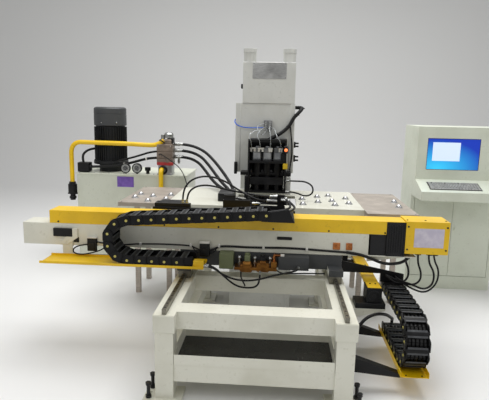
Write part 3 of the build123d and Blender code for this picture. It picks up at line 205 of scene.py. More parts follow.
# Each finish is its recipe and the recipe's values; grain is low along the lines' direction
FINISHES = {
    # satin two-pack paint on the bed, saddle, beam and centre table: creamy white, soft gloss
    "cream_machine_paint": (sprayed_paint, "#DEDDCF", "#BDBAA6", 0.38),
    # the tank's and the console's greener creams, with a finer texture
    "tank_paint": (sprayed_paint, "#D6D9C8", "#B9BBA6", 0.42, 4.0),
    "console_paint": (sprayed_paint, "#D5DACA", "#BCC0AE", 0.46, 3.0, 0.1),
    # the press's cooler light grey
    "press_paint": (sprayed_paint, "#CDCEC9", "#AEAFA8", 0.42),
    # folded covers, trays and oil pipes: bright yellow gloss
    "yellow_gloss_paint": (sprayed_paint, "#F0C406", "#C79E08", 0.36, 6.0, 0.12),
    # carriage, clamps, selector frame and brackets: black enamel
    "black_gloss_paint": (sprayed_paint, "#0D0D0F", "#181817", 0.42, 4.0, 0.04, 0.25),
    # the motor's fan cowl: dark grey enamel; the same grey on the saddle's front under the beam is painted shade
    "grey_motor_paint": (sprayed_paint, "#36383A", "#4A4B48", 0.5, 3.0, 0.1),
    # the motor's finned housing: near black enamel
    "motor_body_paint": (sprayed_paint, "#191B1D", "#2B2C2B", 0.5, 3.0, 0.04, 0.3),
    # the solenoid coils and the junction box: olive enamel
    "olive_enamel": (sprayed_paint, "#6C7350", "#555C3E", 0.4, 3.0, 0.1),
    # the drip pan's floor: black oil on sheet steel, darkened further as painted shade where the pan lies in shadow
    "oily_sheet": (sprayed_paint, "#131312", "#0A0A09", 0.24, 30.0, 0.15, 0.3),
    # rails, blocks and screws: ground steel, with lines along Y or X
    "ground_steel_y": (ground_metal, "#98958A", "#4E4B43", 0.3, (1, 0.03, 1)),
    "ground_steel_x": (ground_metal, "#B9B8B4", "#6E6D68", 0.26, (0.03, 1, 1)),
    # roller tables: mill-finish sheet with a dull, streaky shine
    "mill_steel_sheet": (ground_metal, "#C9BFB4", "#A59C92", 0.42, (0.06, 1, 1), 4.0, 0.6),
    # the press's bare plate: brushed aluminium
    "brushed_nameplate": (ground_metal, "#C9C9C7", "#8D8D8B", 0.28, (0.04, 1, 1), 1.2),
    # screws, ferrules and fittings: bright zinc
    "zinc_plated_steel": (cast_metal, "#B7B8B6", "#8F918F", 0.32, 1.0, 1.5),
    # dies, ram, jaws and dark screws: black oxide on steel
    "blackened_steel": (cast_metal, "#141417", "#0A0A0C", 0.46, 0.3),
    # the selector cylinders: dull grey castings
    "grey_casting": (cast_metal, "#8B8C8D", "#6A6B6C", 0.5, 0.5),
    # the stacked valves: brown-grey phosphated castings
    "bronze_casting": (cast_metal, "#8F8072", "#6E6157", 0.5, 0.4),
    # the valve base, ball rings and plunger caps: plain aluminium castings
    "cast_aluminium": (cast_metal, "#AEB0B1", "#85878A", 0.4, 1.0),
    # the valve group's manifold: brass gone dull brown
    "burnished_brass": (cast_metal, "#9A6A30", "#6E4620", 0.4, 0.9),
    # the earth plates and the elbow: bare copper
    "copper_bar": (cast_metal, "#C07F4E", "#8E5530", 0.3, 1.0),
    # transfer balls: hardened chrome steel
    "hardened_ball": (polished_steel, "#C4C4C6"),
    # glass-filled nylon of the chains: near black, softly shiny, and greyer on the worn lids
    "black_nylon": (moulded_plastic, "#161618", "#09090A", 0.38, 1.8, 0.08, 0.22),
    "worn_nylon": (moulded_plastic, "#484A4C", "#323437", 0.42),
    # the chains' pin caps: undyed nylon
    "pale_nylon": (moulded_plastic, "#C9BE6E", "#B5A84F", 0.5),
    # hoses and cable sheaths: black rubber
    "hose_rubber": (moulded_plastic, "#161617", "#0B0B0C", 0.42, 1.8, 0.08, 0.3),
    # boxes, plugs and gauge cases: black moulded plastic
    "black_plastic": (moulded_plastic, "#161618", "#0B0B0C", 0.4, 1.8, 0.08, 0.3),
    # clips, sensor caps and dial faces: white moulded plastic
    "white_plastic": (moulded_plastic, "#E6E5DF", "#D2D0C8", 0.45),
    # the valve stack's red band: dyed plastic
    "red_plastic": (moulded_plastic, "#C03A3A", "#9A2424", 0.4),
    # the keyboard's keys and the dark shell under them
    "key_plastic": (moulded_plastic, "#A5A5A2", "#8C8C89", 0.5),
    "dark_inside": (moulded_plastic, "#3A3A38", "#22211F", 0.7, 8.0),
    # smooth vinyl labels with nothing on them: pale, yellow and violet
    "bare_label": (moulded_plastic, "#D9D3DE", "#C6BFD0", 0.35, 6.0, 0.02),
    "bare_yellow_label": (moulded_plastic, "#E8C628", "#C9A81C", 0.4, 6.0, 0.02),
    "violet_label": (moulded_plastic, "#7C5BB0", "#66489A", 0.4, 6.0, 0.02),
    # air tubes: blue and clear polyurethane
    "blue_polyurethane": (clear_polymer, "#1C5FD0", 0.1),
    "clear_polyurethane": (clear_polymer, "#E4E8EA", 0.7),
    # the gauges' windows: clear acrylic
    "dial_glass": (clear_polymer, "#F2F4F4", 0.95),
    # the press's lamp: amber lens, lit
    "amber_lamp": (lit_lens, "#FF8A50", "#FF7A3C"),
    # the console's display: deep blue, cyan, and a pale blue panel
    "display": (lit_panel, "#0A2FA0", "#30B4E4", "#BFCEDF"),
}
made = {}


def finish(name):
    """The named material, made once."""
    if name not in made:
        recipe, *values = FINISHES[name]
        made[name] = recipe(name, *values)
    return made[name]


# Shapes: each is (vertices, faces), in mm
def rounded(width, height, radius, steps=4):
    """A rectangle about (0, 0) whose corners are quarter circles, as (n, 2) points."""
    radius = min(radius, width / 2, height / 2)
    turn = np.linspace(0, pi / 2, steps + 1)
    parts = []
    for quarter, (sx, sy) in enumerate(((1, 1), (-1, 1), (-1, -1), (1, -1))):
        angle = turn + quarter * pi / 2
        centre = (sx * (width / 2 - radius), sy * (height / 2 - radius))
        parts.append(np.stack([np.cos(angle), np.sin(angle)], 1) * radius + centre)
    return np.concatenate(parts)


def signed_area(outline):
    """Twice the area inside a closed outline, below zero where it runs clockwise."""
    after = np.roll(outline, -1, 0)
    return np.sum(outline[:, 0] * after[:, 1] - after[:, 0] * outline[:, 1])


def inset(outline, distance):
    """Each point of a closed outline moved inward along the mean of its two edge normals."""
    normals = []
    for edge in (outline - np.roll(outline, 1, 0), np.roll(outline, -1, 0) - outline):
        length = np.maximum(np.linalg.norm(edge, axis=1, keepdims=True), 1e-6)
        normals.append(np.stack([edge[:, 1], -edge[:, 0]], 1) / length)
    mean = normals[0] + normals[1]
    mean /= np.maximum((mean ** 2).sum(1, keepdims=True) / 2, 0.3)
    return outline - mean * distance * np.sign(signed_area(outline))


def loft(rings):
    """Quads between successive rings of equal count, with both end rings filled."""
    rings = np.asarray(rings, float)
    count, size = rings.shape[:2]
    i, j = np.meshgrid(np.arange(count - 1) * size, np.arange(size), indexing="ij")
    j2 = (j + 1) % size
    faces = np.stack([i + j, i + j2, i + size + j2, i + size + j], -1).reshape(-1, 4).tolist()
    faces += [list(range(size))[::-1], list(range((count - 1) * size, count * size))]
    return rings.reshape(-1, 3), faces


def slab(outline, low, high, bevel=0.0, axis=Z):
    """A closed outline carried from low to high along an axis, its end edges eased by bevel.
    The outline is given as (x, y) where the axis is Z, and as (x, z) where it is Y."""
    outline, plane = np.asarray(outline, float), np.array([X, Y])
    if axis is Y:
        outline, plane = outline[:, ::-1], np.array([Z, X])
    if signed_area(outline) < 0:
        outline = outline[::-1]
    levels = [(low, 0), (high, 0)]
    if bevel:
        levels = [(low, bevel), (low + bevel, 0), (high - bevel, 0), (high, bevel)]
    return loft([(inset(outline, shrink) if shrink else outline) @ plane + axis * level for level, shrink in levels])


def box(x, y, z, radius=2.0, bevel=None):
    """A block between low and high ends along X, Y and Z, with eased edges."""
    middle = ((x[0] + x[1]) / 2, (y[0] + y[1]) / 2)
    outline = rounded(x[1] - x[0], y[1] - y[0], radius, 3) + middle
    return slab(outline, z[0], z[1], radius if bevel is None else bevel)


def blocks(*rows):
    """Blocks, each given as its ends along X, Y and Z, its radius, and its bevel if that differs."""
    return [box(row[0:2], row[2:4], row[4:6], *row[6:]) for row in rows]


def turned(profile, start, axis, steps=24):
    """A (distance along the axis, radius) profile turned once round an axis from start."""
    axis = np.asarray(axis, float)
    axis = axis / np.linalg.norm(axis)
    side = np.cross(axis, X if abs(axis[0]) < 0.8 else Y)
    side /= np.linalg.norm(side)
    angle = np.linspace(0, 2 * pi, steps, endpoint=False)
    circle = np.cos(angle)[:, None] * side + np.sin(angle)[:, None] * np.cross(axis, side)
    return loft([np.asarray(start) + axis * reach + circle * max(radius, 0.01) for reach, radius in profile])


def swept(path, radius, steps=10):
    """A circle carried along a path of points, each ring square to the path's direction."""
    ahead = np.gradient(path, axis=0)
    ahead /= np.linalg.norm(ahead, axis=1, keepdims=True)
    side = np.cross(ahead[0], Z if abs(ahead[0][2]) < 0.9 else X)
    angle = np.linspace(0, 2 * pi, steps, endpoint=False)
    rings = []
    for point, direction, size in zip(path, ahead, np.broadcast_to(radius, len(path))):
        side = side - direction * (side @ direction)
        side /= np.linalg.norm(side)
        other = np.cross(direction, side)
        rings.append(point + size * (np.cos(angle)[:, None] * side + np.sin(angle)[:, None] * other))
    return loft(rings)


def curve_points(points, count):
    """A smooth path through points: a quadratic B-spline of them, sampled evenly."""
    points = np.asarray(points, float)
    spans = len(points) - 2
    t = np.linspace(0, spans, count)
    k = np.minimum(t.astype(int), spans - 1)
    u = (t - k)[:, None]
    a, b, c = points[k], points[k + 1], points[k + 2]
    start = np.where((k == 0)[:, None], a, (a + b) / 2)
    end = np.where((k == spans - 1)[:, None], c, (b + c) / 2)
    return (1 - u) ** 2 * start + 2 * u * (1 - u) * b + u ** 2 * end


def moved(shape, offset, turn=None):
    """A shape turned by a 3 by 3 matrix and shifted."""
    points = shape[0] if turn is None else shape[0] @ turn.T
    return points + np.asarray(offset, float), shape[1]


def about(axis, turn):
    """The 3 by 3 matrix of a turn in degrees about X, Y or Z."""
    return np.array(Matrix.Rotation(radians(turn), 3, axis))


def joined(shapes):
    """Several shapes as one."""
    points, faces, start = [], [], 0
    for vertices, loops in shapes:
        points.append(vertices)
        faces.extend([[index + start for index in loop] for loop in loops])
        start += len(vertices)
    return np.concatenate(points), faces


def drum(place, axis, radius, length, ease=0.8, steps=24):
    """A round bar from a place along an axis, its two rims eased."""
    profile = [(0, radius - ease), (ease, radius), (length - ease, radius), (length, radius - ease)]
    return turned(profile, place, axis, steps)


def band_round(path, at, radius, width, steps):
    """A plain band round a path, from its point number at."""
    return turned([(0, radius), (width, radius)], path[at], path[at + 1] - path[at], steps)


def flex(points, diameter, count=24, steps=10):
    """A bent tube along the smooth curve through its route."""
    return swept(curve_points(points, count), diameter / 2, steps)


def ball(place, radius):
    """A ball as a turned half circle: distance r(1 - cos a) along Z, radius r sin a."""
    arc = [(radius * (1 - cos(a)), radius * sin(a)) for a in np.linspace(0, pi, 11)]
    return turned(arc, np.asarray(place) - radius * Z, Z, 18)


def ring(place, axis, inner, outer, height):
    """A flat ring on a face, sunk 0.2 mm into it, its upper outer rim eased."""
    profile = [(-0.2, outer), (height * 0.6, outer), (height, outer - height * 0.5), (height, inner), (-0.2, inner)]
    return turned(profile, place, axis, 24)


def hex_screw(place, axis, across=17, height=10):
    """A hexagon screw head on its washer, standing on a face. The head's radius over its
    corners is its width across flats over the square root of three."""
    washer = turned([(0, across * 0.62), (1.8, across * 0.62)], place, axis, 20)
    head = [(1.8, across * 0.577), (height - 1.2, across * 0.577), (height, across * 0.5)]
    return joined([washer, turned(head, place, axis, 6)])


def cap_screw(place, axis, radius=6, height=6):
    """A round socket screw head: a low drum with an eased rim and a round hollow."""
    rim, hollow, floor = radius * 0.86, radius * 0.5, height * 0.45
    profile = [(0, radius), (height * 0.8, radius), (height, rim), (height, hollow), (floor, hollow), (floor, 0)]
    return turned(profile, place, axis, 12)


def grid(xs, ys, zs):
    """Every place of a grid; a single value stands for one row."""
    return [(x, y, z) for x in np.atleast_1d(xs) for y in np.atleast_1d(ys) for z in np.atleast_1d(zs)]


def cap_screws(xs, ys, zs, axis, radius=6, height=6):
    """A socket screw at every place of a grid."""
    return [cap_screw(place, axis, radius, height) for place in grid(xs, ys, zs)]


# Pieces
def placed(name, data, body, replaces=()):
    """An object that rides on a body, or on none yet and the nodes it replaces."""
    item = bpy.data.objects.new(name, data)
    bpy.context.scene.collection.objects.link(item)
    if body:
        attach(item, body)
    if replaces:
        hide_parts(*replaces)
    return item


def shade(mesh):
    """Smooth shading with edges sharp from 35 degrees."""
    mesh.shade_smooth()
    mesh.set_sharp_from_angle(angle=radians(35))


def piece(name, groups, body, slot, *replaces):
    """A piece of (finish, shapes) groups, scaled from mm."""
    points, faces = joined([shape for _, shapes in groups for shape in shapes])
    mesh = bpy.data.meshes.new(name)
    mesh.from_pydata((points / PER_METRE).tolist(), [], faces)
    indices = []
    for index, (material, shapes) in enumerate(groups):
        mesh.materials.append(finish(material))
        indices += [index] * sum(len(shape[1]) for shape in shapes)
    mesh.polygons.foreach_set("material_index", indices)
    shade(mesh)
    mesh.validate()
    return placed(name, mesh, body, replaces)


def eased(node, material, body, width):
    """A copy of a node's solid with its corners rounded as paint and deburring leave them:
    its doubles are merged, flat faces rejoined, and a bevel runs along the sharp edges."""
    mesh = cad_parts[node].data.copy()
    work = bmesh.new()
    work.from_mesh(mesh)
    bmesh.ops.remove_doubles(work, verts=work.verts, dist=1e-5)
    bmesh.ops.dissolve_limit(work, angle_limit=radians(0.5), verts=work.verts, edges=work.edges)
    work.to_mesh(mesh)
    work.free()
    mesh.materials.clear()
    mesh.materials.append(finish(material))
    mesh.polygons.foreach_set("material_index", [0] * len(mesh.polygons))
    shade(mesh)
    item = placed(node + "_eased", mesh, body, (node,))
    ease = item.modifiers.new("Eased edges", "BEVEL")
    ease.width, ease.segments = width, 2
    ease.limit_method, ease.angle_limit = "ANGLE", radians(30)
    ease.harden_normals = False
    return item


def split_paint(item, second, test):
    """Gives a second finish to the faces whose middle x, y and z, in metres, pass a test."""
    mesh = item.data
    mesh.materials.append(finish(second))
    middles = np.empty(len(mesh.polygons) * 3)
    mesh.polygons.foreach_get("center", middles)
    indices = np.empty(len(mesh.polygons), int)
    mesh.polygons.foreach_get("material_index", indices)
    indices[test(*middles.reshape(-1, 3).T)] = len(mesh.materials) - 1
    mesh.polygons.foreach_set("material_index", indices)


# Settings
def size_setting(name, description, default, **limits):
    """A length in metres that the panel shows."""
    return bpy.props.FloatProperty(
        name=name, description=description, default=default, unit="LENGTH", **limits)


def turn_setting(name, description, default):
    """An angle that the panel shows; its default is given in degrees."""
    return bpy.props.FloatProperty(
        name=name, description=description, default=radians(default), subtype="ANGLE")


class PUNCH_PG_paint(bpy.types.PropertyGroup):
    """Widths that the painted pieces share."""
    edge: size_setting("Edge radius", "Rounding of painted plate and box edges", 0.0025, min=0.0005, max=0.008)
    cover_edge: size_setting("Fold radius", "Rounding of the covers' folded corners", 0.0012, min=0.0003, max=0.006)


class PUNCH_PG_chain(bpy.types.PropertyGroup):
    """Sizes of the cable chain links."""
    pitch: size_setting("Link pitch", "Distance from pin to pin", 0.080)
    height: size_setting("Link height", "Height of a link's side plates", 0.063)
    pin_radius: size_setting("Pin radius", "Radius of the pale pin caps", 0.0085)


class PUNCH_PG_stage(bpy.types.PropertyGroup):
    """The view, the lamps and the floor."""
    camera_place: bpy.props.FloatVectorProperty(
        name="Camera", description="Where the camera stands", default=(0.095, -3.33, 1.6),
        subtype="TRANSLATION", unit="LENGTH",
    )
    field_pixels: bpy.props.FloatProperty(
        name="Focal length", description="Focal length in pixels of the frame's width", default=510.0,
    )
    pitch: turn_setting("Pitch", "How far the camera looks down", 10.3)
    yaw: turn_setting("Yaw", "How far the camera looks left of +Y", 3.65)
    roll: turn_setting("Roll", "How far the camera leans", 1.2)
    floor: bpy.props.FloatVectorProperty(
        name="Floor", description="Colour of the floor and backdrop", default=(0.82, 0.82, 0.81),
        subtype="COLOR", size=3, min=0, max=1,
    )
    lamps: bpy.props.FloatProperty(
        name="Lamp level", description="Scale of every lamp's power", default=1.0, min=0.0, max=4.0,
    )


# Nodes that keep their solid with eased edges: finish, body, slot, nodes
EASED = (
    ("cream_machine_paint", "base", "cream", "bed_frame centre_table"),
    ("press_paint", "base", "press_paint", "press_frame press_head"),
    ("tank_paint", "base", "cream", "oil_tank"),
    ("console_paint", "base", "console_paint", "console_cabinet console_desk"),
    ("console_paint", "left_door", "console_paint", "console_door_left"),
    ("console_paint", "right_door", "console_paint", "console_door_right"),
    ("cream_machine_paint", "saddle", "cream", "saddle_frame x_beam"),
    ("black_gloss_paint", "carriage", "black_paint", "carriage_plate"),
    ("black_gloss_paint", "base", "black_paint", "selector_frame"),
    ("blackened_steel", "saddle", "cast_black", "x_screw_housing"),
    ("blackened_steel", "base", "cast_black", "die_set"),
    ("black_gloss_paint", "base", "black_paint", "y_motor"),
    ("black_gloss_paint", "carriage", "black_paint", "chain_bracket clamp_bodies"),
    ("blackened_steel", "left_jaw", "black_paint", "clamp_jaw_left"),
    ("blackened_steel", "right_jaw", "black_paint", "clamp_jaw_right"),
    ("grey_casting", "base", "alu", "selectors"),
    ("yellow_gloss_paint", "saddle", "yellow", "x_cover x_motor_cover x_chain_tray"),
    ("yellow_gloss_paint", "base", "yellow", "y_screw_cover y_chain_tray"),
)
# The parts of a node that have a second paint, in metres: the unit at the tank's side, the
# saddle's front under the beam, grey as painted shade, its black arm and ledge, and the arm under the Y chain's tray
SECOND_PAINTS = {
    "oil_tank": [("black_gloss_paint", lambda x, y, z: x < -1.9255)],
    "saddle_frame": [
        # the saddle's front under the beam, made grey as painted shade
        ("grey_motor_paint", lambda x, y, z: (abs(x) < 0.62) & (y < 0) & (z > 0.535) & (z < 0.6605)),
        ("black_gloss_paint", lambda x, y, z: (x > 0.62) | (z < 0.535)),
    ],
    "y_chain_tray": [("black_gloss_paint", lambda x, y, z: x < 0.8235)],
}
# Nodes shown as they are
REPAINTED = {
    "levelling_bolts": "blackened_steel", "y_rails": "ground_steel_y", "x_rails": "ground_steel_x",
    "side_tables": "mill_steel_sheet", "ball_units": "hardened_ball", "console_screen": "display",
    "y_screw": "ground_steel_y", "x_screw": "ground_steel_x", "ram": "blackened_steel",
    "bearing_blocks": "ground_steel_y",
}


class PUNCH_OT_painted(bpy.types.Operator):
    """Finishes the painted frames, tables, tank, console and covers"""
    bl_idname = "punch.painted"
    bl_label = "Painted frames and covers"

    def execute(self, context):
        widths = context.scene.punch_paint
        for material, body, slot, nodes in EASED:
            width = widths.cover_edge if slot == "yellow" else widths.edge
            for node in nodes.split():
                item = eased(node, material, body, width)
                for second, test in SECOND_PAINTS.get(node, ()):
                    split_paint(item, second, test)
        for node, material in REPAINTED.items():
            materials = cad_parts[node].data.materials
            materials.clear()
            materials.append(finish(material))
        return {"FINISHED"}


def chain_link(settings, width, lid, strands):
    """One link along +X from its pin at the origin: two cranked side plates with round ends,
    two ribbed cross bars with their lids, and a round pin cap on each outer face. Each plate's
    outline is half an ellipse on its pin with straight edges to the crank, and the inner plates
    are the outer ones turned round the link's middle. The cables inside run from pin to pin."""
    sizes = (settings.pitch, settings.height, settings.pin_radius)
    pitch, height, pin = (size * PER_METRE for size in sizes)
    half, middle = height / 2, pitch / 2
    lap, crank, wall = 24, 4, 6
    arc = np.linspace(pi / 2, 3 * pi / 2, 9)
    nose = np.stack([lap * np.cos(arc), half * np.sin(arc)], 1)
    outer = np.concatenate([nose, [[middle + crank, -half], [middle + crank, half]]])
    inner = (pitch, 0) - outer
    post = rounded(8, height, 1, 1) + (middle, 0)
    cap = [(0, pin), (1.6, pin), (2.6, pin * 0.7), (2.6, 0)]
    body, pins, lids = [], [], []
    for side in (-1, 1):
        for outline, near, far, ease in (
            (outer, wall, 0, 1.2), (inner, 2 * wall + 0.5, wall + 0.5, 1.2), (post, 8.5, 4, 0),
        ):
            low, high = sorted((side * (width / 2 - near), side * (width / 2 - far)))
            body.append(slab(outline, low, high, ease, Y))
        pins.append(turned(cap, (0, side * width / 2, 0), (0, side, 0), 16))
        for shapes, across, deep, radius, drop, back, ease in (
            (body, 24, 5.2, 2, 2.7, 6, 0.5),
            (body, 4, 3, 1.2, 6.2, 12, 0.5),
            (lids, lid, 4.4, 1.8, 2.6, 13.5, 1),
        ):
            outline = rounded(across, deep, radius, 2) + (middle, side * (half - drop))
            shapes.append(slab(outline, back - width / 2, width / 2 - back, ease, Y))
    inside = [drum((-3, y, z), X, radius, pitch + 6, 1, 10) for y, z, radius in strands]
    groups = {"black_nylon": body, "worn_nylon": lids, "pale_nylon": pins, "hose_rubber": inside}
    return {material: joined(shapes) for material, shapes in groups.items()}


def chain_pieces(prefix, link, pitch, pivot, angle, counts, place, bodies):
    """The three runs of a chain that starts at its pivot (x, z) and returns at an angle. A
    straight run is the link repeated one pitch apart, with one count of links for the lower
    run and one for the upper. The loop's pins lie on a half circle, so its radius is half a
    pitch over the sine of half a link's turn, and each link heads for the next pin. At the end
    place puts each link on the machine."""
    loop_links = 5
    each = pi / loop_links
    loop_radius = pitch / 2 / sin(each / 2)
    start = np.array([pivot[0], 0, pivot[1]])
    centre, top = start + loop_radius * Z, start + 2 * loop_radius * Z
    runs = {"lower": [(start + step * pitch * X, np.eye(3)) for step in range(counts[0])], "loop": []}
    for step in range(loop_links):
        first = pi / 2 + step * each
        pin = centre + loop_radius * np.array([cos(first), 0, sin(first)])
        runs["loop"].append((pin, about("Y", -degrees(first + each / 2 + pi / 2))))
    climb = pitch * np.array([cos(angle), 0, sin(angle)])
    turn = about("Y", -degrees(angle)) @ about("Y", 180)
    runs["upper"] = [(top + step * climb, turn) for step in range(1, counts[1] + 1)]
    for run, links in runs.items():
        groups = [
            (material, [place(moved(shape, pin, spin)) for pin, spin in links])
            for material, shape in link.items()
        ]
        name = f"{prefix}_{run}"
        item = piece(f"{name}_links", groups, bodies[1] if run == "loop" else None, "nylon", name)
        if run != "loop":
            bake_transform(item)


class PUNCH_OT_chains(bpy.types.Operator):
    """Builds the links of both cable chains in place of their plain solids"""
    bl_idname = "punch.chains"
    bl_label = "Cable chains"

    def execute(self, context):
        settings = context.scene.punch_chain
        pitch = settings.pitch * PER_METRE
        front, back = -265, -100
        cables = ((-50, -8, 13), (-18, -10, 12), (12, -10, 13), (46, -8, 14))
        chain_pieces(
            "x_chain", chain_link(settings, back - front, 40, cables), pitch, (-842, 626), radians(4), (5, 11),
            lambda shape: moved(shape, (0, (front + back) / 2, 0)), ("saddle", "x_loop", "carriage"),
        )
        left, right = 835, 975
        hoses = [(y, -6, 11.4) for y in (-45, -22.5, 0, 22.5, 45)]
        low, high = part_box("y_chain_lower")
        pin_height = (low[2] + high[2]) / 2 * PER_METRE
        chain_pieces(
            "y_chain", chain_link(settings, right - left, 45, hoses), pitch, (-480, pin_height), 0.0, (6, 7),
            lambda shape: moved(shape, ((left + right) / 2, 0, 0), about("Z", 90)),
            ("base", "y_loop", "saddle"),
        )
        return {"FINISHED"}


# Free cords: diameter, length, body, and the route's points as in the part's source, in mm
CORDS = {
    "pack_hose_a": (28, 1108, "base", [
        (-920, 1740, 1096), (-820, 1740, 1096), (-690, 1640, 1064), (-590, 1450, 1005),
        (-510, 1260, 955), (-425, 1110, 910), (-345, 1000, 890), (-345, 900, 890)]),
    "pack_hose_b": (28, 1155, "base", [
        (-920, 1740, 1160), (-810, 1740, 1160), (-660, 1650, 1118), (-550, 1470, 1042),
        (-462, 1280, 980), (-385, 1125, 930), (-309, 1000, 890), (-309, 900, 890)]),
    "pack_hose_c": (28, 1211, "base", [
        (-920, 1740, 1224), (-800, 1740, 1224), (-630, 1660, 1172), (-505, 1490, 1088),
        (-412, 1300, 1022), (-335, 1135, 960), (-273, 1000, 890), (-273, 900, 890)]),
    "clamp_hose_a": (13, 837, "carriage", [
        (-560, 148, 930), (-560, 148, 1005), (-530, 180, 1074), (-460, 210, 1112), (-370, 220, 1116),
        (-270, 220, 1085), (-170, 206, 1024), (-90, 186, 984), (-20, 160, 966), (40, 148, 966),
        (100, 148, 966)]),
    "clamp_hose_b": (13, 739, "carriage", [
        (-530, 148, 930), (-530, 148, 990), (-490, 172, 1040), (-420, 190, 1058), (-340, 202, 1048),
        (-240, 218, 1020), (-130, 220, 1004), (-50, 186, 998), (25, 148, 996), (100, 148, 996)]),
    "loop_hose": (13, 511, "base", [
        (163, 770, 1022), (240, 770, 1022), (325, 764, 1022), (385, 758, 985),
        (385, 755, 925), (325, 752, 900), (240, 750, 936), (163, 750, 936)]),
    "saddle_hose_a": (12, 499, "saddle", [
        (-352, -222, 604), (-300, -222, 604), (-230, -204, 530), (-150, -196, 462),
        (-70, -192, 450), (-10, -188, 462), (4, -162, 512), (4, -162, 562)]),
    "saddle_hose_b": (12, 687, "saddle", [
        (-352, -248, 604), (-300, -248, 604), (-235, -242, 552), (-150, -236, 518), (-60, -232, 514),
        (20, -230, 530), (100, -230, 558), (195, -228, 580), (250, -205, 590), (250, -150, 590)]),
    "motor_cable_a": (13, 361, "saddle", [
        (1040, -8, 664), (1040, -8, 612), (1068, -14, 548), (1062, -28, 490), (1010, -40, 464),
        (950, -5, 464), (950, 60, 464)]),
    "motor_cable_b": (13, 529, "saddle", [
        (1115, 8, 664), (1115, 8, 612), (1158, 0, 545), (1148, -24, 470), (1084, -56, 440),
        (1000, -66, 478), (918, -12, 488), (918, 60, 488)]),
    "y_cable": (20, 686, "base", [
        (526, -330, 190), (566, -330, 190), (622, -310, 262), (672, -286, 322), (745, -262, 346),
        (818, -206, 320), (868, -120, 264), (898, -40, 226), (905, 4, 196), (905, 4, 150)]),
}


def free_cord(name, diameter, body, points):
    """A cord as one open NURBS spline with the route's points as its control points, in metres."""
    data = bpy.data.curves.new(name + "_line", "CURVE")
    data.dimensions = "3D"
    data.bevel_depth = diameter / 2
    data.bevel_resolution = 4
    data.resolution_u = 10
    data.use_fill_caps = True
    line = data.splines.new("NURBS")
    line.points.add(len(points) - 1)
    line.points.foreach_set("co", [value for point in points for value in (*point, 1.0)])
    line.order_u = 3
    line.use_endpoint_u = True
    data.materials.append(finish("hose_rubber"))
    item = placed(name + "_line", data, body, (name,))


class PUNCH_OT_cords(bpy.types.Operator):
    """Lays the hoses and cables, with a crimped ferrule at each end of a hose"""
    bl_idname = "punch.cords"
    bl_label = "Hoses and cables"

    def execute(self, context):
        ferrules = {}
        for name, (diameter, length, body, points) in CORDS.items():
            route = [tuple(value / PER_METRE for value in point) for point in points]
            free_cord(name, diameter / PER_METRE, body, route)
            if "cable" in name:
                continue
            profile = [(reach * diameter / 2, size * diameter / 2) for reach, size in (
                (0, 1.25), (1, 1.25), (1, 1.5), (2, 1.5), (2, 1.18), (4.6, 1.18), (4.8, 1.02))]
            for end, following in (points[:2], points[:-3:-1]):
                ferrules.setdefault(body, []).append(turned(profile, end, np.subtract(following, end), 18))
        for body, shapes in ferrules.items():
            piece(f"hose_ferrules_{body}", [("zinc_plated_steel", shapes)], body, "steel")
        return {"FINISHED"}


# Faces that fittings stand on, in mm, 0.1 mm clear of the solids
BEAM_FACE = -80.1
MOTOR_COVER_FACE = -85.1
TANK_TOP = 923.1
TABLE_TOP = 860.1


class PUNCH_OT_bed(bpy.types.Operator):
    """Adds rail bolts, beam end plates, the pan's dark film of oil and painted shade, and the strip cover's screws
    """
    bl_idname = "punch.bed_fittings"
    bl_label = "Bed fittings"

    def execute(self, context):
        rail_holes = grid((-486, 486), range(-760, 770, 60), 530)
        plugs = [turned([(0, 7.2), (0.4, 6.6)], place, Z, 14) for place in rail_holes]
        piece("rail_bolt_plugs", [("black_plastic", plugs)], "base", "nylon")
        plates = blocks(*(
            (*x, *y, 400.5, 499.5, 4, 3)
            for x in ((-545, -427), (427, 545)) for y in ((-806, -799.9), (799.9, 806))
        ))
        piece("beam_end_plates", [("cream_machine_paint", plates)], "base", "cream")
        # a dark sheet on the pan's floor and lip: black oil, and painted shade where the pan lies under the frame
        film = blocks((-442.8, 442.8, -696.8, -373.2, 188.1, 189.2, 1, 0.4),
                      (-430.8, 430.8, -791.8, -697.2, 219.1, 220, 1, 0.4))
        piece("pan_oil_and_shade_film", [("oily_sheet", film)], "base", "black_paint")
        shaft = (735, -195, 434)
        screws = [
            *cap_screws((718, 752), (-120, 280, 680), 490.1, Z, 5.5, 4),
            *cap_screws((860, 950), (-600, -20), 120.1, Z, 5, 3),
            *cap_screws((692, 778), shaft[1], (395, 481), -Y, 4.5, 4),
        ]
        fan = [ring(shaft, -Y, 30, 37, 3), drum(shaft, -Y, 12, 3)]
        piece("y_drive_screws", [("blackened_steel", screws), ("black_plastic", fan)], "base", "black_paint")
        return {"FINISHED"}


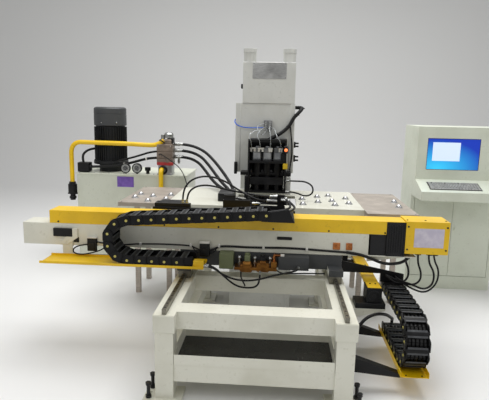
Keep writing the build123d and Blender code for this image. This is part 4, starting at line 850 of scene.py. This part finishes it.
class PUNCH_OT_saddle(bpy.types.Operator):
    """Builds the valve group on the saddle, and the sensors, clips and plugs along the beam"""
    bl_idname = "punch.saddle_fittings"
    bl_label = "Valve group and sensors"

    def execute(self, context):
        brass = [
            *blocks((-165, 110, -170, -80, 562, 582), (-130, -49, -168, -84, 545, 600, 8),
                    (-22, 63, -168, -84, 549, 612, 10), (72, 110, -165, -100, 582, 622, 4)),
            drum((-60, -150, 600), -X, 18, 50), drum((0, -150, 612), X, 14, 40),
        ]
        olive = [
            *blocks((-265, -172, -160, -80, 562, 668, 5), (-101, -63, -150, -95, 600, 655, 6)),
            drum((-82, -122, 653), Z, 17, 12),
        ]
        black = [box((-3, 37), (-150, -95), (606, 652), 5), drum((17, -122, 650), Z, 16, 8)]
        bright = []
        for x in (-134, -34, 66):
            bright += [drum((x, -125, 580), Z, 7, 45), ball((x, -125, 635), 13),
                       hex_screw((x, -125, 596), Z, 20, 12)]
        elbow = flex([(92, -130, 600), (92, -130, 652), (94, -130, 662), (135, -130, 658)], 20)
        small = [flex([(-120, -172, 552), (-122, -180, 520), (-100, -178, 480), (-92, -172, 458)], 10),
                 flex([(106, -150, 570), (130, -170, 548), (230, -170, 556), (420, -140, 552)], 9)]
        piece("valve_group", [
            ("burnished_brass", brass), ("olive_enamel", olive), ("black_plastic", black),
            ("zinc_plated_steel", bright), ("copper_bar", [elbow]),
            ("white_plastic", [drum((133, -130, 658), X, 12, 24)]), ("hose_rubber", small),
        ], "saddle", "brass", "valve_manifold")

        black = blocks((-1393, -1262, -96.5, BEAM_FACE, 722, 778, 3), (106, 204, -88, BEAM_FACE, 752, 772, 3),
                       (-1258, -1222, -85, BEAM_FACE, 682, 718))
        white, copper = [], []
        for x, front in ((-1130, -97), (-367, -122)):
            black += blocks((x - 32, x + 32, front, BEAM_FACE, 628, 716, 3),
                            (x - 20, x + 20, front - 4, front + 1, 640, 690, 3))
            white.append(box((x - 34, x + 34), (front - 1, BEAM_FACE), (716, 726)))
        for x in (966, 1040, 1115, 1150):
            black += [box((x - 24, x + 24), (-24, 24), (690, 720), 4), drum((x, 0, 664.5), Z, 22, 26)]
        for x, z in ((-462, 694), (-274, 697), (303, 694), (-800, 690), (20, 694)):
            white.append(box((x - 8, x + 8), (-94, BEAM_FACE), (z - 12, z + 12), 3))
        for x in ((471, 518), (555, 596)):
            copper += [box(x, (-85, BEAM_FACE), (699, 746)), cap_screw((sum(x) / 2, -85, 722.5), -Y, 7, 4)]
        corners = [(-1351, 672), (-1300, 668), (-1228, 716), (-1228, 778), (-1262, 778)]
        wires = [
            flex([(-1098, -85, 690), (-960, -85, 672), (-800, -85, 692), (-470, -85, 694), (-430, -89, 676),
                  (-400, -101, 668)], 9, 60),
            flex([(-334, -101, 668), (-300, -89, 676), (-262, -85, 697), (-60, -85, 692), (190, -85, 700),
                  (420, -85, 690), (560, -85, 684), (600, -85, 682)], 14, 70, 12),
            flex([(-1160, -90, 672), (-1215, -97, 668), (-1262, -97, 640), (-1255, -97, 610), (-1200, -97, 602),
                  (-1130, -101, 618), (-1060, -93, 640), (-1020, -85, 672)], 9, 40),
            flex([(-399, -101, 650), (-430, -95, 640), (-452, -89, 690)], 7),
            flex([(-335, -101, 645), (-305, -95, 640), (-285, -89, 690)], 7),
            flex([(560, -85, 684), (640, -85, 676), (720, -85, 650), (790, -70, 618), (860, -50, 606),
                  (930, -30, 612), (985, 0, 640), (992, 0, 662)], 20, 60, 12),
            flex([(968, 10, 664), (962, 10, 620), (990, 0, 560), (985, -10, 500), (940, -10, 462),
                  (890, 0, 470), (850, 40, 500)], 14, 50, 12),
            flex([(1150, 20, 664), (1156, 20, 620), (1190, 10, 560), (1178, -10, 470), (1100, -40, 412),
                  (1010, -50, 440), (930, 0, 478), (850, 50, 500)], 12, 60, 12),
        ]
        piece("beam_sensors", [
            ("cream_machine_paint", [slab(corners, -94, BEAM_FACE, 1, Y)]), ("hose_rubber", wires),
            ("black_plastic", black), ("white_plastic", white), ("copper_bar", copper),
        ], "saddle", "rubber", "beam_wiring")
        return {"FINISHED"}


class PUNCH_OT_covers(bpy.types.Operator):
    """Adds the yellow covers' screws, the motor cover's bare plate and the housing's ribs"""
    bl_idname = "punch.cover_fittings"
    bl_label = "Cover fittings"

    def execute(self, context):
        screws = [
            *cap_screws(range(-1360, 801, 360), BEAM_FACE, 822, -Y, 6, 3),
            *cap_screws((945, 1190), MOTOR_COVER_FACE, (720, 870), -Y, 6, 3),
            *cap_screws((945, 1060, 1190), -40, 903.1, Z, 6, 3),
        ]
        piece("cover_screws", [("blackened_steel", screws)], "saddle", "steel")
        ribs = blocks(*((x, x + 6, -86, -79.5, 690, 876) for x in np.arange(826, 922, 15.5)))
        ribs += cap_screws((822, 920), BEAM_FACE, (682, 868), -Y)
        piece("housing_ribs", [("blackened_steel", ribs)], "saddle", "cast_black")
        plate = box((985, 1172), (-86.6, MOTOR_COVER_FACE), (735, 860), 2, 0.5)
        piece("motor_cover_plate", [("bare_label", [plate])], "saddle", "alu")
        end = box((-1606.5, -1604.9), (-79, 79), (662, 809), 4, 0.5)
        piece("beam_end_plate", [("cream_machine_paint", [end])], "saddle", "cream")
        return {"FINISHED"}


class PUNCH_OT_tables(bpy.types.Operator):
    """Adds the ball units' flange rings and the tables' screws"""
    bl_idname = "punch.table_fittings"
    bl_label = "Table fittings"

    def execute(self, context):
        centres = ((-1054, 690), (-924, 764), (-790, 840), (-914, 550), (-790, 644), (-1046, 842), (304, 848),
                   (437, 972), (536, 1042), (427, 730), (545, 798), (302, 619), (551, 621), (670, 707),
                   (672, 936), (1053, 844), (1043, 624))
        rings = [ring((x, y, 860), Z, 22.2, 31, 2.2) for x, y in centres]
        screws = [
            *cap_screws((-735, -400, 400, 735), 469.9, 800, -Y, 6, 4),
            *cap_screws((-775, -1105), (490, 1230), TABLE_TOP, Z, 6, 2),
            *cap_screws((775, 1105), (365, 1230), TABLE_TOP, Z, 6, 2),
        ]
        piece("ball_rings", [("cast_aluminium", rings), ("zinc_plated_steel", screws)], "base", "steel")
        return {"FINISHED"}


class PUNCH_OT_press(bpy.types.Operator):
    """Adds the press's plate, air fittings and tubes, lamp, clamps and small blocks"""
    bl_idname = "punch.press_fittings"
    bl_label = "Press fittings"

    def execute(self, context):
        plate = box((-131, 143), (917.2, 920.2), (1832, 1960), 3, 0.6)
        screws = cap_screws((-122, 134), 917.4, (1841, 1951), -Y, 4, 2)
        piece("press_name_plate", [
            ("brushed_nameplate", [plate]), ("zinc_plated_steel", screws),
        ], "base", "steel")

        white, tubes, caps = [], [], []
        for low, high in ((-133, -84), (-70, -19), (16, 51), (98, 134)):
            white.append(box((low, high), (776, 792.5), (1270, 1284), 3))
            white += [drum((x, 784, 1250), Z, 8.5, 22) for x in (low + 10, high - 10)]
        for x, lift, out in ((-118, 1425, -150), (-48, 1440, -85), (34, 1455, 30), (116, 1438, 75)):
            tubes.append([(5 + x * 0.15, 885, lift), (x / 2, 800, lift + 12), (out, 735, 1385), (x, 728, 1335),
                          (x, 775, 1284)])
        tubes.append([(-20, 884, 1470), (-85, 860, 1475), (-70, 800, 1400), (-20, 800, 1380), (0, 884, 1428)])
        ports = [drum(place, -Y, 8, 14) for place in grid((-12, 22), 877.5, (1428, 1446, 1464, 1482))]
        for x in (-77, 9, 95):
            caps += [box((x - 29, x + 29), (787, 793.5), (1190, 1246), 3), drum((x, 830, 1283.5), Z, 26, 12)]
        piece("selector_air_fittings", [
            ("white_plastic", white), ("clear_polyurethane", [flex(route, 6.5, 26) for route in tubes]),
            ("zinc_plated_steel", ports), ("cast_aluminium", caps),
        ], "base", "alu")

        frame_face = 740.1
        lamp = box((139, 172), (716, frame_face), (1246, 1305), 3)
        dome = [(12 * sin(a), 13 * cos(a)) for a in np.linspace(0, pi / 2, 8)]
        strips = blocks((125, 149, 734.5, frame_face, 1181, 1243), (-127, 145, 905, 917, 937, 1060.5),
                        (-268, -243, 893, 920.3, 1051, 1152, 4), (-229, -208.8, 985, 1015, 1752, 1790, 4))
        for low, high in ((1278, 1326), (1162, 1215)):
            strips.append(box((222.8, 238), (930, 970), (low, high)))
            strips += [box((237, 264), (936, 964), (z - 6, z + 6)) for z in (low + 11, high - 12)]
        tag = box((137, 174), (737.4, frame_face), (1120, 1165), 2, 0.5)
        filler = box((163.4, 205), (795, 895), (905, 1052), 4)
        posts = [box((-172, -145.4), (800, 860), (865, 1047), 4)]
        posts += [drum((x, frame_face + 0.1, 1100), -Y, 9, 6) for x in (-115, -28, 46, 133)]
        piece("press_small_blocks", [
            ("black_plastic", [lamp]), ("amber_lamp", [turned(dome, (157, 716.2, 1273), -Y, 18)]),
            ("black_gloss_paint", strips), ("bare_yellow_label", [tag]), ("press_paint", [filler]),
            ("blackened_steel", posts),
        ], "base", "black_paint")

        path = curve_points([
            (223, 1016, 1606), (258, 1016, 1606), (284, 954, 1604), (262, 900, 1574), (214, 904.5, 1526),
            (178, 900, 1452), (116, 892, 1396), (52, 878, 1364), (6, 870, 1338)], 160)
        wrapping = 14.5 + 0.9 * np.sin(np.arange(len(path)) * 1.9)  # the turns of its spiral wrap
        cable = [(188, 907.5, 1462), (196, 909.5, 1390), (210, 914, 1290), (210, 914, 1190), (198, 906, 1130),
                 (198, 906, 1079)]
        air = [(-270, 980, 1500), (-276, 914, 1478), (-235, 900, 1446), (-150, 898, 1432), (-28.5, 906, 1440)]
        ties = []
        for at in (34, 70, 104):
            x, y, z = path[at]
            ties += [band_round(path, at, 16.5, 7, 20),
                     box((x + 10, x + 24), (y - 16, y - 8), (z - 4, z + 4), 1)]
        piece("press_loom", [
            ("hose_rubber", [swept(path, wrapping, 14), flex(cable, 11, 50)]),
            ("blue_polyurethane", [flex(air, 9, 50)]), ("black_plastic", ties),
        ], "base", "rubber", "press_cables")
        return {"FINISHED"}


class PUNCH_OT_power_pack(bpy.types.Operator):
    """Builds the finned motor, the valve stack, the gauges, cables and yellow pipes"""
    bl_idname = "punch.power_pack"
    bl_label = "Power pack fittings"

    def execute(self, context):
        x, y = -1635, 1870
        housing = [
            drum((x, y, 1026), Z, 146, 358, 3, 48), drum((x, y, TANK_TOP), Z, 120, 78, 2, 40),
            drum((x, y, 1000), Z, 175, 30, 3, 48),
            box((x - 60, x + 60), (y + 135, y + 220), (1150, 1250), 8, 4),
        ]
        fin = box((135, 163.5), (-2.2, 2.2), (1042, 1376), 1.5, 0.8)
        housing += [moved(fin, (x, y, 0), about("Z", step * 9)) for step in range(40)]
        for step in range(8):
            angle = step * pi / 4 + 0.3
            housing.append(hex_screw((x + 161 * cos(angle), y + 161 * sin(angle), 1030), Z))
        cowl = [(0, 156), (6, 163), (116, 163), (117, 161), (122, 161), (123, 163), (171, 162), (183, 152),
                (188, 136), (188, 0)]
        dots = [cap_screw((x + 104, y - 124, 1420), (0.64, -0.77, 0), 8, 5),
                cap_screw((x - 40, y - 157, 1420), (-0.25, -0.97, 0), 6, 4)]
        piece("finned_motor", [
            ("motor_body_paint", housing), ("grey_motor_paint", [turned(cowl, (x, y, 1387), Z, 48)]),
            ("zinc_plated_steel", dots),
        ], "base", "motor_grey", "pump_motor")

        base = blocks((-1085, -950, 1632, 1768, TANK_TOP, 1020, 4), (-1094, -948, 1628, 1772, TANK_TOP, 938, 3))
        body = blocks(*((-1100, -944, 1632, 1768, *z, 5) for z in ((1019, 1086), (1087, 1150), (1151, 1225))))
        body += [box((-1080, -955), (1645, 1755), (1224, 1272), 6),
                 drum((-1066, 1640, 1118), -Y, 16, 22), drum((-990, 1640, 1055), -Y, 13, 22)]
        coils = blocks((-998, -941, 1655, 1745, 1236, 1288, 4), (-1103, -1070, 1660, 1740, 1165, 1205, 4))
        coils.append(ring((-1036, 1632, 972), -Y, 24, 44, 16))
        knob = [(0, 46), (36, 46), (50, 36), (56, 20), (56, 0)]
        bright = [turned(knob, (-990, 1700, 1286), Z, 28), drum((-1050, 1700, 1271), Z, 20, 45)]
        for z in (1096, 1160, 1224):
            bright += [drum((-946, 1740, z), X, 18, 27), hex_screw((-944, 1740, z), X, 36, 14)]
        bright += [drum((-898, 1740, 1030), Z, 12, 60), hex_screw((-898, 1740, 1046), Z, 26, 14)]
        bright += cap_screws((-1085, -960), 1632, (1035, 1205), -Y, 7, 6)
        wire = [(-1070, 1618, 1118), (-1070, 1596, 1145), (-990, 1598, 1096), (-925, 1598, 1052),
                (-861, 1598, 1001), (-815, 1598, 923), (-787, 1600, 815), (-790, 1610, 740),
                (-815, 1632.5, 720)]
        piece("stacked_valves", [
            ("cast_aluminium", base), ("bronze_casting", body),
            ("red_plastic", blocks((-1094, -933, 1618, 1632.5, 1020, 1050))), ("black_plastic", coils),
            ("zinc_plated_steel", bright), ("hose_rubber", [flex(wire, 9, 60)]),
        ], "base", "alu", "valve_stack")

        dark = blocks((-1912, -1790, 1645, 1740, 930, 1022, 12, 4),
                      (-1895, -1808, 1660, 1725, TANK_TOP, 931, 3))
        dark.append(drum((-1790, 1676, 980), X, 19, 18))
        tick = box((-1.4, 1.4), (-0.6, 0.6), (27, 37), 0.4, 0.2)
        hand = box((-1.6, 1.6), (-0.8, 0.8), (-8, 28), 0.5, 0.2)
        dials, windows = [], []
        scale_face = 1641.2
        for x, z in ((-1419, 978), (-1303, 981)):
            dark += [drum((x, 1668, z), -Y, 49, 24, 2, 36), ring((x, 1644.5, z), -Y, 41, 50, 10),
                     drum((x, 1653, TANK_TOP), Z, 10, 12), ring((x, scale_face, z), -Y, 20, 25, 1),
                     moved(hand, (x, scale_face - 1, z), about("Y", -125))]
            dark += [moved(tick, (x, scale_face, z), about("Y", -130 + step * 26)) for step in range(11)]
            dials.append(drum((x, 1644.6, z), -Y, 41, 3, 0.3, 36))
            windows.append(drum((x, 1638.5, z), -Y, 40.5, 1.6, 0.3, 36))
        x, y = -1205, 1690
        rib = box((24, 29), (-3, 3), (954, 986), 1)
        dark += [moved(rib, (x, y, 0), about("Z", step * 30)) for step in range(12)]
        dark += [drum((x, y, TANK_TOP), Z, 17, 30), drum((x, y, 952), Z, 26, 36, 3)]
        first = [(-1775, 1676, 980), (-1690, 1674, 984), (-1560, 1672, 990), (-1400, 1690, 1020),
                 (-1260, 1704, 1062), (-1180, 1706, 1080), (-1095, 1700, 1086)]
        second = [(-1540, 1685, 1026), (-1500, 1672, 1050), (-1380, 1690, 1075), (-1270, 1706, 1110),
                  (-1180, 1706, 1140), (-1102, 1700, 1150)]
        third = [(-1862, 1690, 1018), (-1876, 1690, 1080), (-1850, 1720, 1130), (-1815, 1800, 1150),
                 (-1785, 1870, 1150)]
        path = curve_points(first, 60)
        piece("tank_gauges", [
            ("black_plastic", dark), ("dial_glass", windows),
            ("white_plastic", dials + [band_round(path, at, 15.5, 14, 18) for at in (26, 46)]),
            ("hose_rubber", [swept(path, 13, 14), flex(second, 20, 50, 12), flex(third, 24, 40, 12)]),
        ], "base", "black_paint", "tank_instruments")

        long_pipe = [(-1971, 1655, 800), (-1971, 1655, 985), (-1971, 1655, 1228), (-1741, 1655, 1224),
                     (-1400, 1655, 1221), (-1200, 1655, 1212), (-1090, 1655, 1216), (-1030, 1660, 1262)]
        short_pipe = [(-1050, 1594, 760), (-1050, 1594, 900), (-1050, 1594, 978), (-1048, 1634, 978)]
        joints = [drum((-1971, 1655, z), Z, radius, length) for z, radius, length in (
            (786, 31, 40), (640, 26, 62), (655, 34, 22))]
        joints += [hex_screw((-1971, 1655, 796), Z, 60, 22),
                   turned([(0, 30), (10, 30)], (-1046, 1655, 1250), (0.6, 0.05, 0.8))]
        piece("yellow_pipes", [
            ("yellow_gloss_paint", [flex(long_pipe, 45, 90, 20), flex(short_pipe, 45, 40, 20)]),
            ("blackened_steel", joints),
        ], "base", "yellow", "oil_pipes")
        plate = box((-1502, -1334), (1629.5, 1632.1), (790, 895), 4, 0.6)
        piece("tank_plate", [("violet_label", [plate])], "base", "nylon")
        screws = cap_screws(np.linspace(-1890, -830, 8), 1640, TANK_TOP, Z, 6, 5)
        piece("tank_lid_screws", [("zinc_plated_steel", screws)], "base", "steel")
        return {"FINISHED"}


class PUNCH_OT_console(bpy.types.Operator):
    """Adds the console's keys and screen surround"""
    bl_idname = "punch.console_fittings"
    bl_label = "Console fittings"

    def execute(self, context):
        lean, corner = about("X", 18.51), (0, 1055, 978.5)
        shell = box((1378.5, 1806.5), (-74.5, 68.5), (-2.1, -1.2), 0.5, 0.2)
        left, right, front, rear, gap = 1385, 1800, -68, 62, 1.4
        # key widths in each row, from the front; those below 1 are empty
        rows = (
            [1.4, 1.2, 1.2, 6.4, 1.2, 1.2, 1, 1, 1.2, 1.2, 1.2], [2.2, *[1] * 10, 2.4, 1, 1, 1],
            [1.8, *[1] * 12, 1.8, 1, 1], [1.5, *[1] * 12, 1.5, 1, 1, 1], [*[1] * 13, 2, 1, 1, 1],
            [1, 0.4, *[1] * 4, 0.3, *[1] * 4, 0.3, *[1] * 6],
        )
        depth = (rear - front) / len(rows)
        keys = []
        for row, widths in enumerate(rows):
            unit = (right - left) / sum(widths)
            edges = left + unit * np.concatenate([[0], np.cumsum(widths)])
            at = front + row * depth
            for low, high, width in zip(edges[:-1], edges[1:], widths):
                if width >= 1:
                    key = box((low + gap, high - gap), (at + gap, at + depth - gap), (-gap, 4.5), 2.2, 1.6)
                    keys.append(moved(key, corner, lean))
        piece("console_keys", [
            ("dark_inside", [moved(shell, corner, lean)]), ("key_plastic", keys),
        ], "base", "nylon")
        (x0, y0, z0), (x1, _, z1) = np.multiply(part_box("console_screen"), PER_METRE)
        seal = [box(x, (y0 - 1.5, y0 + 4), z, 1, 0.5) for x, z in (
            ((x0 - 4, x1 + 4), (z1 - 1, z1 + 3)), ((x0 - 4, x1 + 4), (z0 - 3, z0 + 1)),
            ((x0 - 4, x0 + 1), (z0, z1)), ((x1 - 1, x1 + 4), (z0, z1)))]
        piece("screen_surround", [("black_plastic", seal)], "base", "nylon")
        return {"FINISHED"}


class PUNCH_OT_carriage(bpy.types.Operator):
    """Adds the clamp hoses' fittings, and the hoses at the valve box and the chain's end"""
    bl_idname = "punch.carriage_fittings"
    bl_label = "Carriage fittings"

    def execute(self, context):
        row = 148  # the clamps' fittings stand in one row along X
        bright = [hex_screw((x, row, 930.2), Z, 20, 12) for x in (-560, -530)]
        bright += [hex_screw((100, row, z), -X, 22, 12) for z in (966, 998)]
        for x, z, length, radius in ((46, 996, 58, 13.5), (26, 966, 80, 15), (-76, 944, 60, 12.5)):
            sleeve = [(0, radius * 0.7), (3, radius * 0.86), (length * 0.45, radius * 0.86),
                      (length * 0.47, radius), (length * 0.86, radius), (length * 0.92, radius * 0.8),
                      (length, radius * 0.72)]
            bright.append(turned(sleeve, (x, row, z), X))
        for x, y, z in ((160, 128, 986), (178, 110, 976)):
            bright += [ball((x, y, z), 12.5), drum((125, y + 12, z), X, 9, x - 125)]
        hoses = [
            flex([(-192, row, 978), (-150, row, 976), (-110, row, 946), (-72, row, 944)], 12),
            flex([(-28, row, 944), (10, row, 944), (60, 150, 948), (103, 150, 950)], 12),
            flex([(34, -150, 944), (100, -150, 954), (165, -118, 962), (190, -30, 964), (180, 60, 970),
                  (160, 128, 986)], 15, 40, 12),
            flex([(34, -205, 942), (100, -200, 952), (185, -160, 958), (220, -50, 960), (202, 50, 964),
                  (178, 110, 976)], 15, 40, 12),
        ]
        piece("carriage_fittings", [("zinc_plated_steel", bright), ("hose_rubber", hoses)], "carriage", "steel")
        return {"FINISHED"}


FRAME_PIXELS = 489  # the width of the frame that the focal length is given for


class PUNCH_OT_stage(bpy.types.Operator):
    """Sets the floor, backdrop, lamps and camera"""
    bl_idname = "punch.stage"
    bl_label = "Floor, lamps and camera"

    def execute(self, context):
        scene = context.scene
        settings = scene.punch_stage
        material = shader("pale_floor", Base_Color=(*settings.floor, 1.0), Roughness=0.75)[0]
        reach, back, bend, rise = 14.0, 6.0, 2.0, 9.0
        arc = [(back + bend * sin(a), bend * (1 - cos(a))) for a in np.linspace(0, pi / 2, 13)]
        section = [(-reach, 0.0), *arc, (back + bend, rise)]
        points = [(x, y, z) for x in (-reach, reach) for y, z in section]
        count = len(section)
        faces = [(k, k + 1, count + k + 1, count + k)[::-1] for k in range(count - 1)]
        mesh = bpy.data.meshes.new("floor_sweep")
        mesh.from_pydata(points, [], faces)
        mesh.materials.append(material)
        mesh.shade_smooth()
        floor = bpy.data.objects.new("floor_sweep", mesh)
        scene.collection.objects.link(floor)

        world = bpy.data.worlds.new("soft_room")
        scene.world = world
        world.use_nodes = True
        tree = world.node_tree
        tree.nodes.clear()
        mirrored, direct = (
            add(tree, "MapRange", "Result", Value=add(tree, "LightPath", ray), To_Min=least, To_Max=most)
            for ray, least, most in (("Is Glossy Ray", 0.30, 0.50), ("Is Camera Ray", 0.0, 0.55)))
        strength = add(tree, "Math", "Value", {"operation": "ADD"}, _0=mirrored, _1=direct)
        light = add(tree, "Background", "Background", Color="#FFFFFF", Strength=strength)
        add(tree, "OutputWorld", Surface=light)

        for name, place, aim, size, power in (
            ("key_panel", (-3.0, -4.0, 5.0), (0, 0.3, 0.7), 3.5, 75),
            ("fill_panel", (4.5, -3.0, 3.8), (0, 0.5, 0.8), 3.5, 45),
            ("top_panel", (0.0, 1.5, 5.5), (0, 1.0, 0.8), 5.0, 335),
        ):
            data = bpy.data.lights.new(name, "AREA")
            data.shape, data.size, data.energy = "SQUARE", size, power * settings.lamps
            lamp = bpy.data.objects.new(name, data)
            lamp.location = place
            lamp.rotation_euler = (Vector(aim) - Vector(place)).to_track_quat("-Z", "Y").to_euler()
            scene.collection.objects.link(lamp)

        pitch, yaw, roll = settings.pitch, settings.yaw, settings.roll
        ahead = Vector((-sin(yaw) * cos(pitch), cos(yaw) * cos(pitch), -sin(pitch)))
        level_right = Vector((cos(yaw), sin(yaw), 0))
        level_up = level_right.cross(ahead)
        right = cos(roll) * level_right + sin(roll) * level_up
        up = cos(roll) * level_up - sin(roll) * level_right
        data = bpy.data.cameras.new("photo_view")
        data.sensor_fit = "HORIZONTAL"
        data.sensor_width = 36.0
        data.lens = settings.field_pixels / FRAME_PIXELS * data.sensor_width
        camera = bpy.data.objects.new("photo_view", data)
        place = Matrix((right, up, -ahead)).transposed().to_4x4()
        place.translation = settings.camera_place
        camera.matrix_world = place
        scene.collection.objects.link(camera)
        scene.camera = camera
        scene.view_settings.view_transform = "Standard"
        return {"FINISHED"}


OPERATORS = (
    PUNCH_OT_painted, PUNCH_OT_chains, PUNCH_OT_cords, PUNCH_OT_bed, PUNCH_OT_saddle, PUNCH_OT_covers,
    PUNCH_OT_tables, PUNCH_OT_press, PUNCH_OT_power_pack, PUNCH_OT_console, PUNCH_OT_carriage, PUNCH_OT_stage,
)
GROUPS = {"punch_paint": PUNCH_PG_paint, "punch_chain": PUNCH_PG_chain, "punch_stage": PUNCH_PG_stage}


class PUNCH_PT_panel(bpy.types.Panel):
    """Lists the machine's pieces in the sidebar"""
    bl_idname = "PUNCH_PT_panel"
    bl_label = "Punching machine"
    bl_space_type = "VIEW_3D"
    bl_region_type = "UI"
    bl_category = "Punching machine"

    def draw(self, context):
        for operator in OPERATORS:
            self.layout.operator(operator.bl_idname)
        for name, group in GROUPS.items():
            column = self.layout.column(align=True)
            for key in group.__annotations__:
                column.prop(getattr(context.scene, name), key)


def register():
    for item in (*GROUPS.values(), *OPERATORS, PUNCH_PT_panel):
        bpy.utils.register_class(item)
    for name, group in GROUPS.items():
        setattr(bpy.types.Scene, name, bpy.props.PointerProperty(type=group))


def unregister():
    for name in GROUPS:
        delattr(bpy.types.Scene, name)
    for item in reversed((*GROUPS.values(), *OPERATORS, PUNCH_PT_panel)):
        bpy.utils.unregister_class(item)


def main():
    register()
    for operator in OPERATORS:
        group, name = operator.bl_idname.split(".")
        getattr(getattr(bpy.ops, group), name)()


if __name__ == "__main__":
    main()
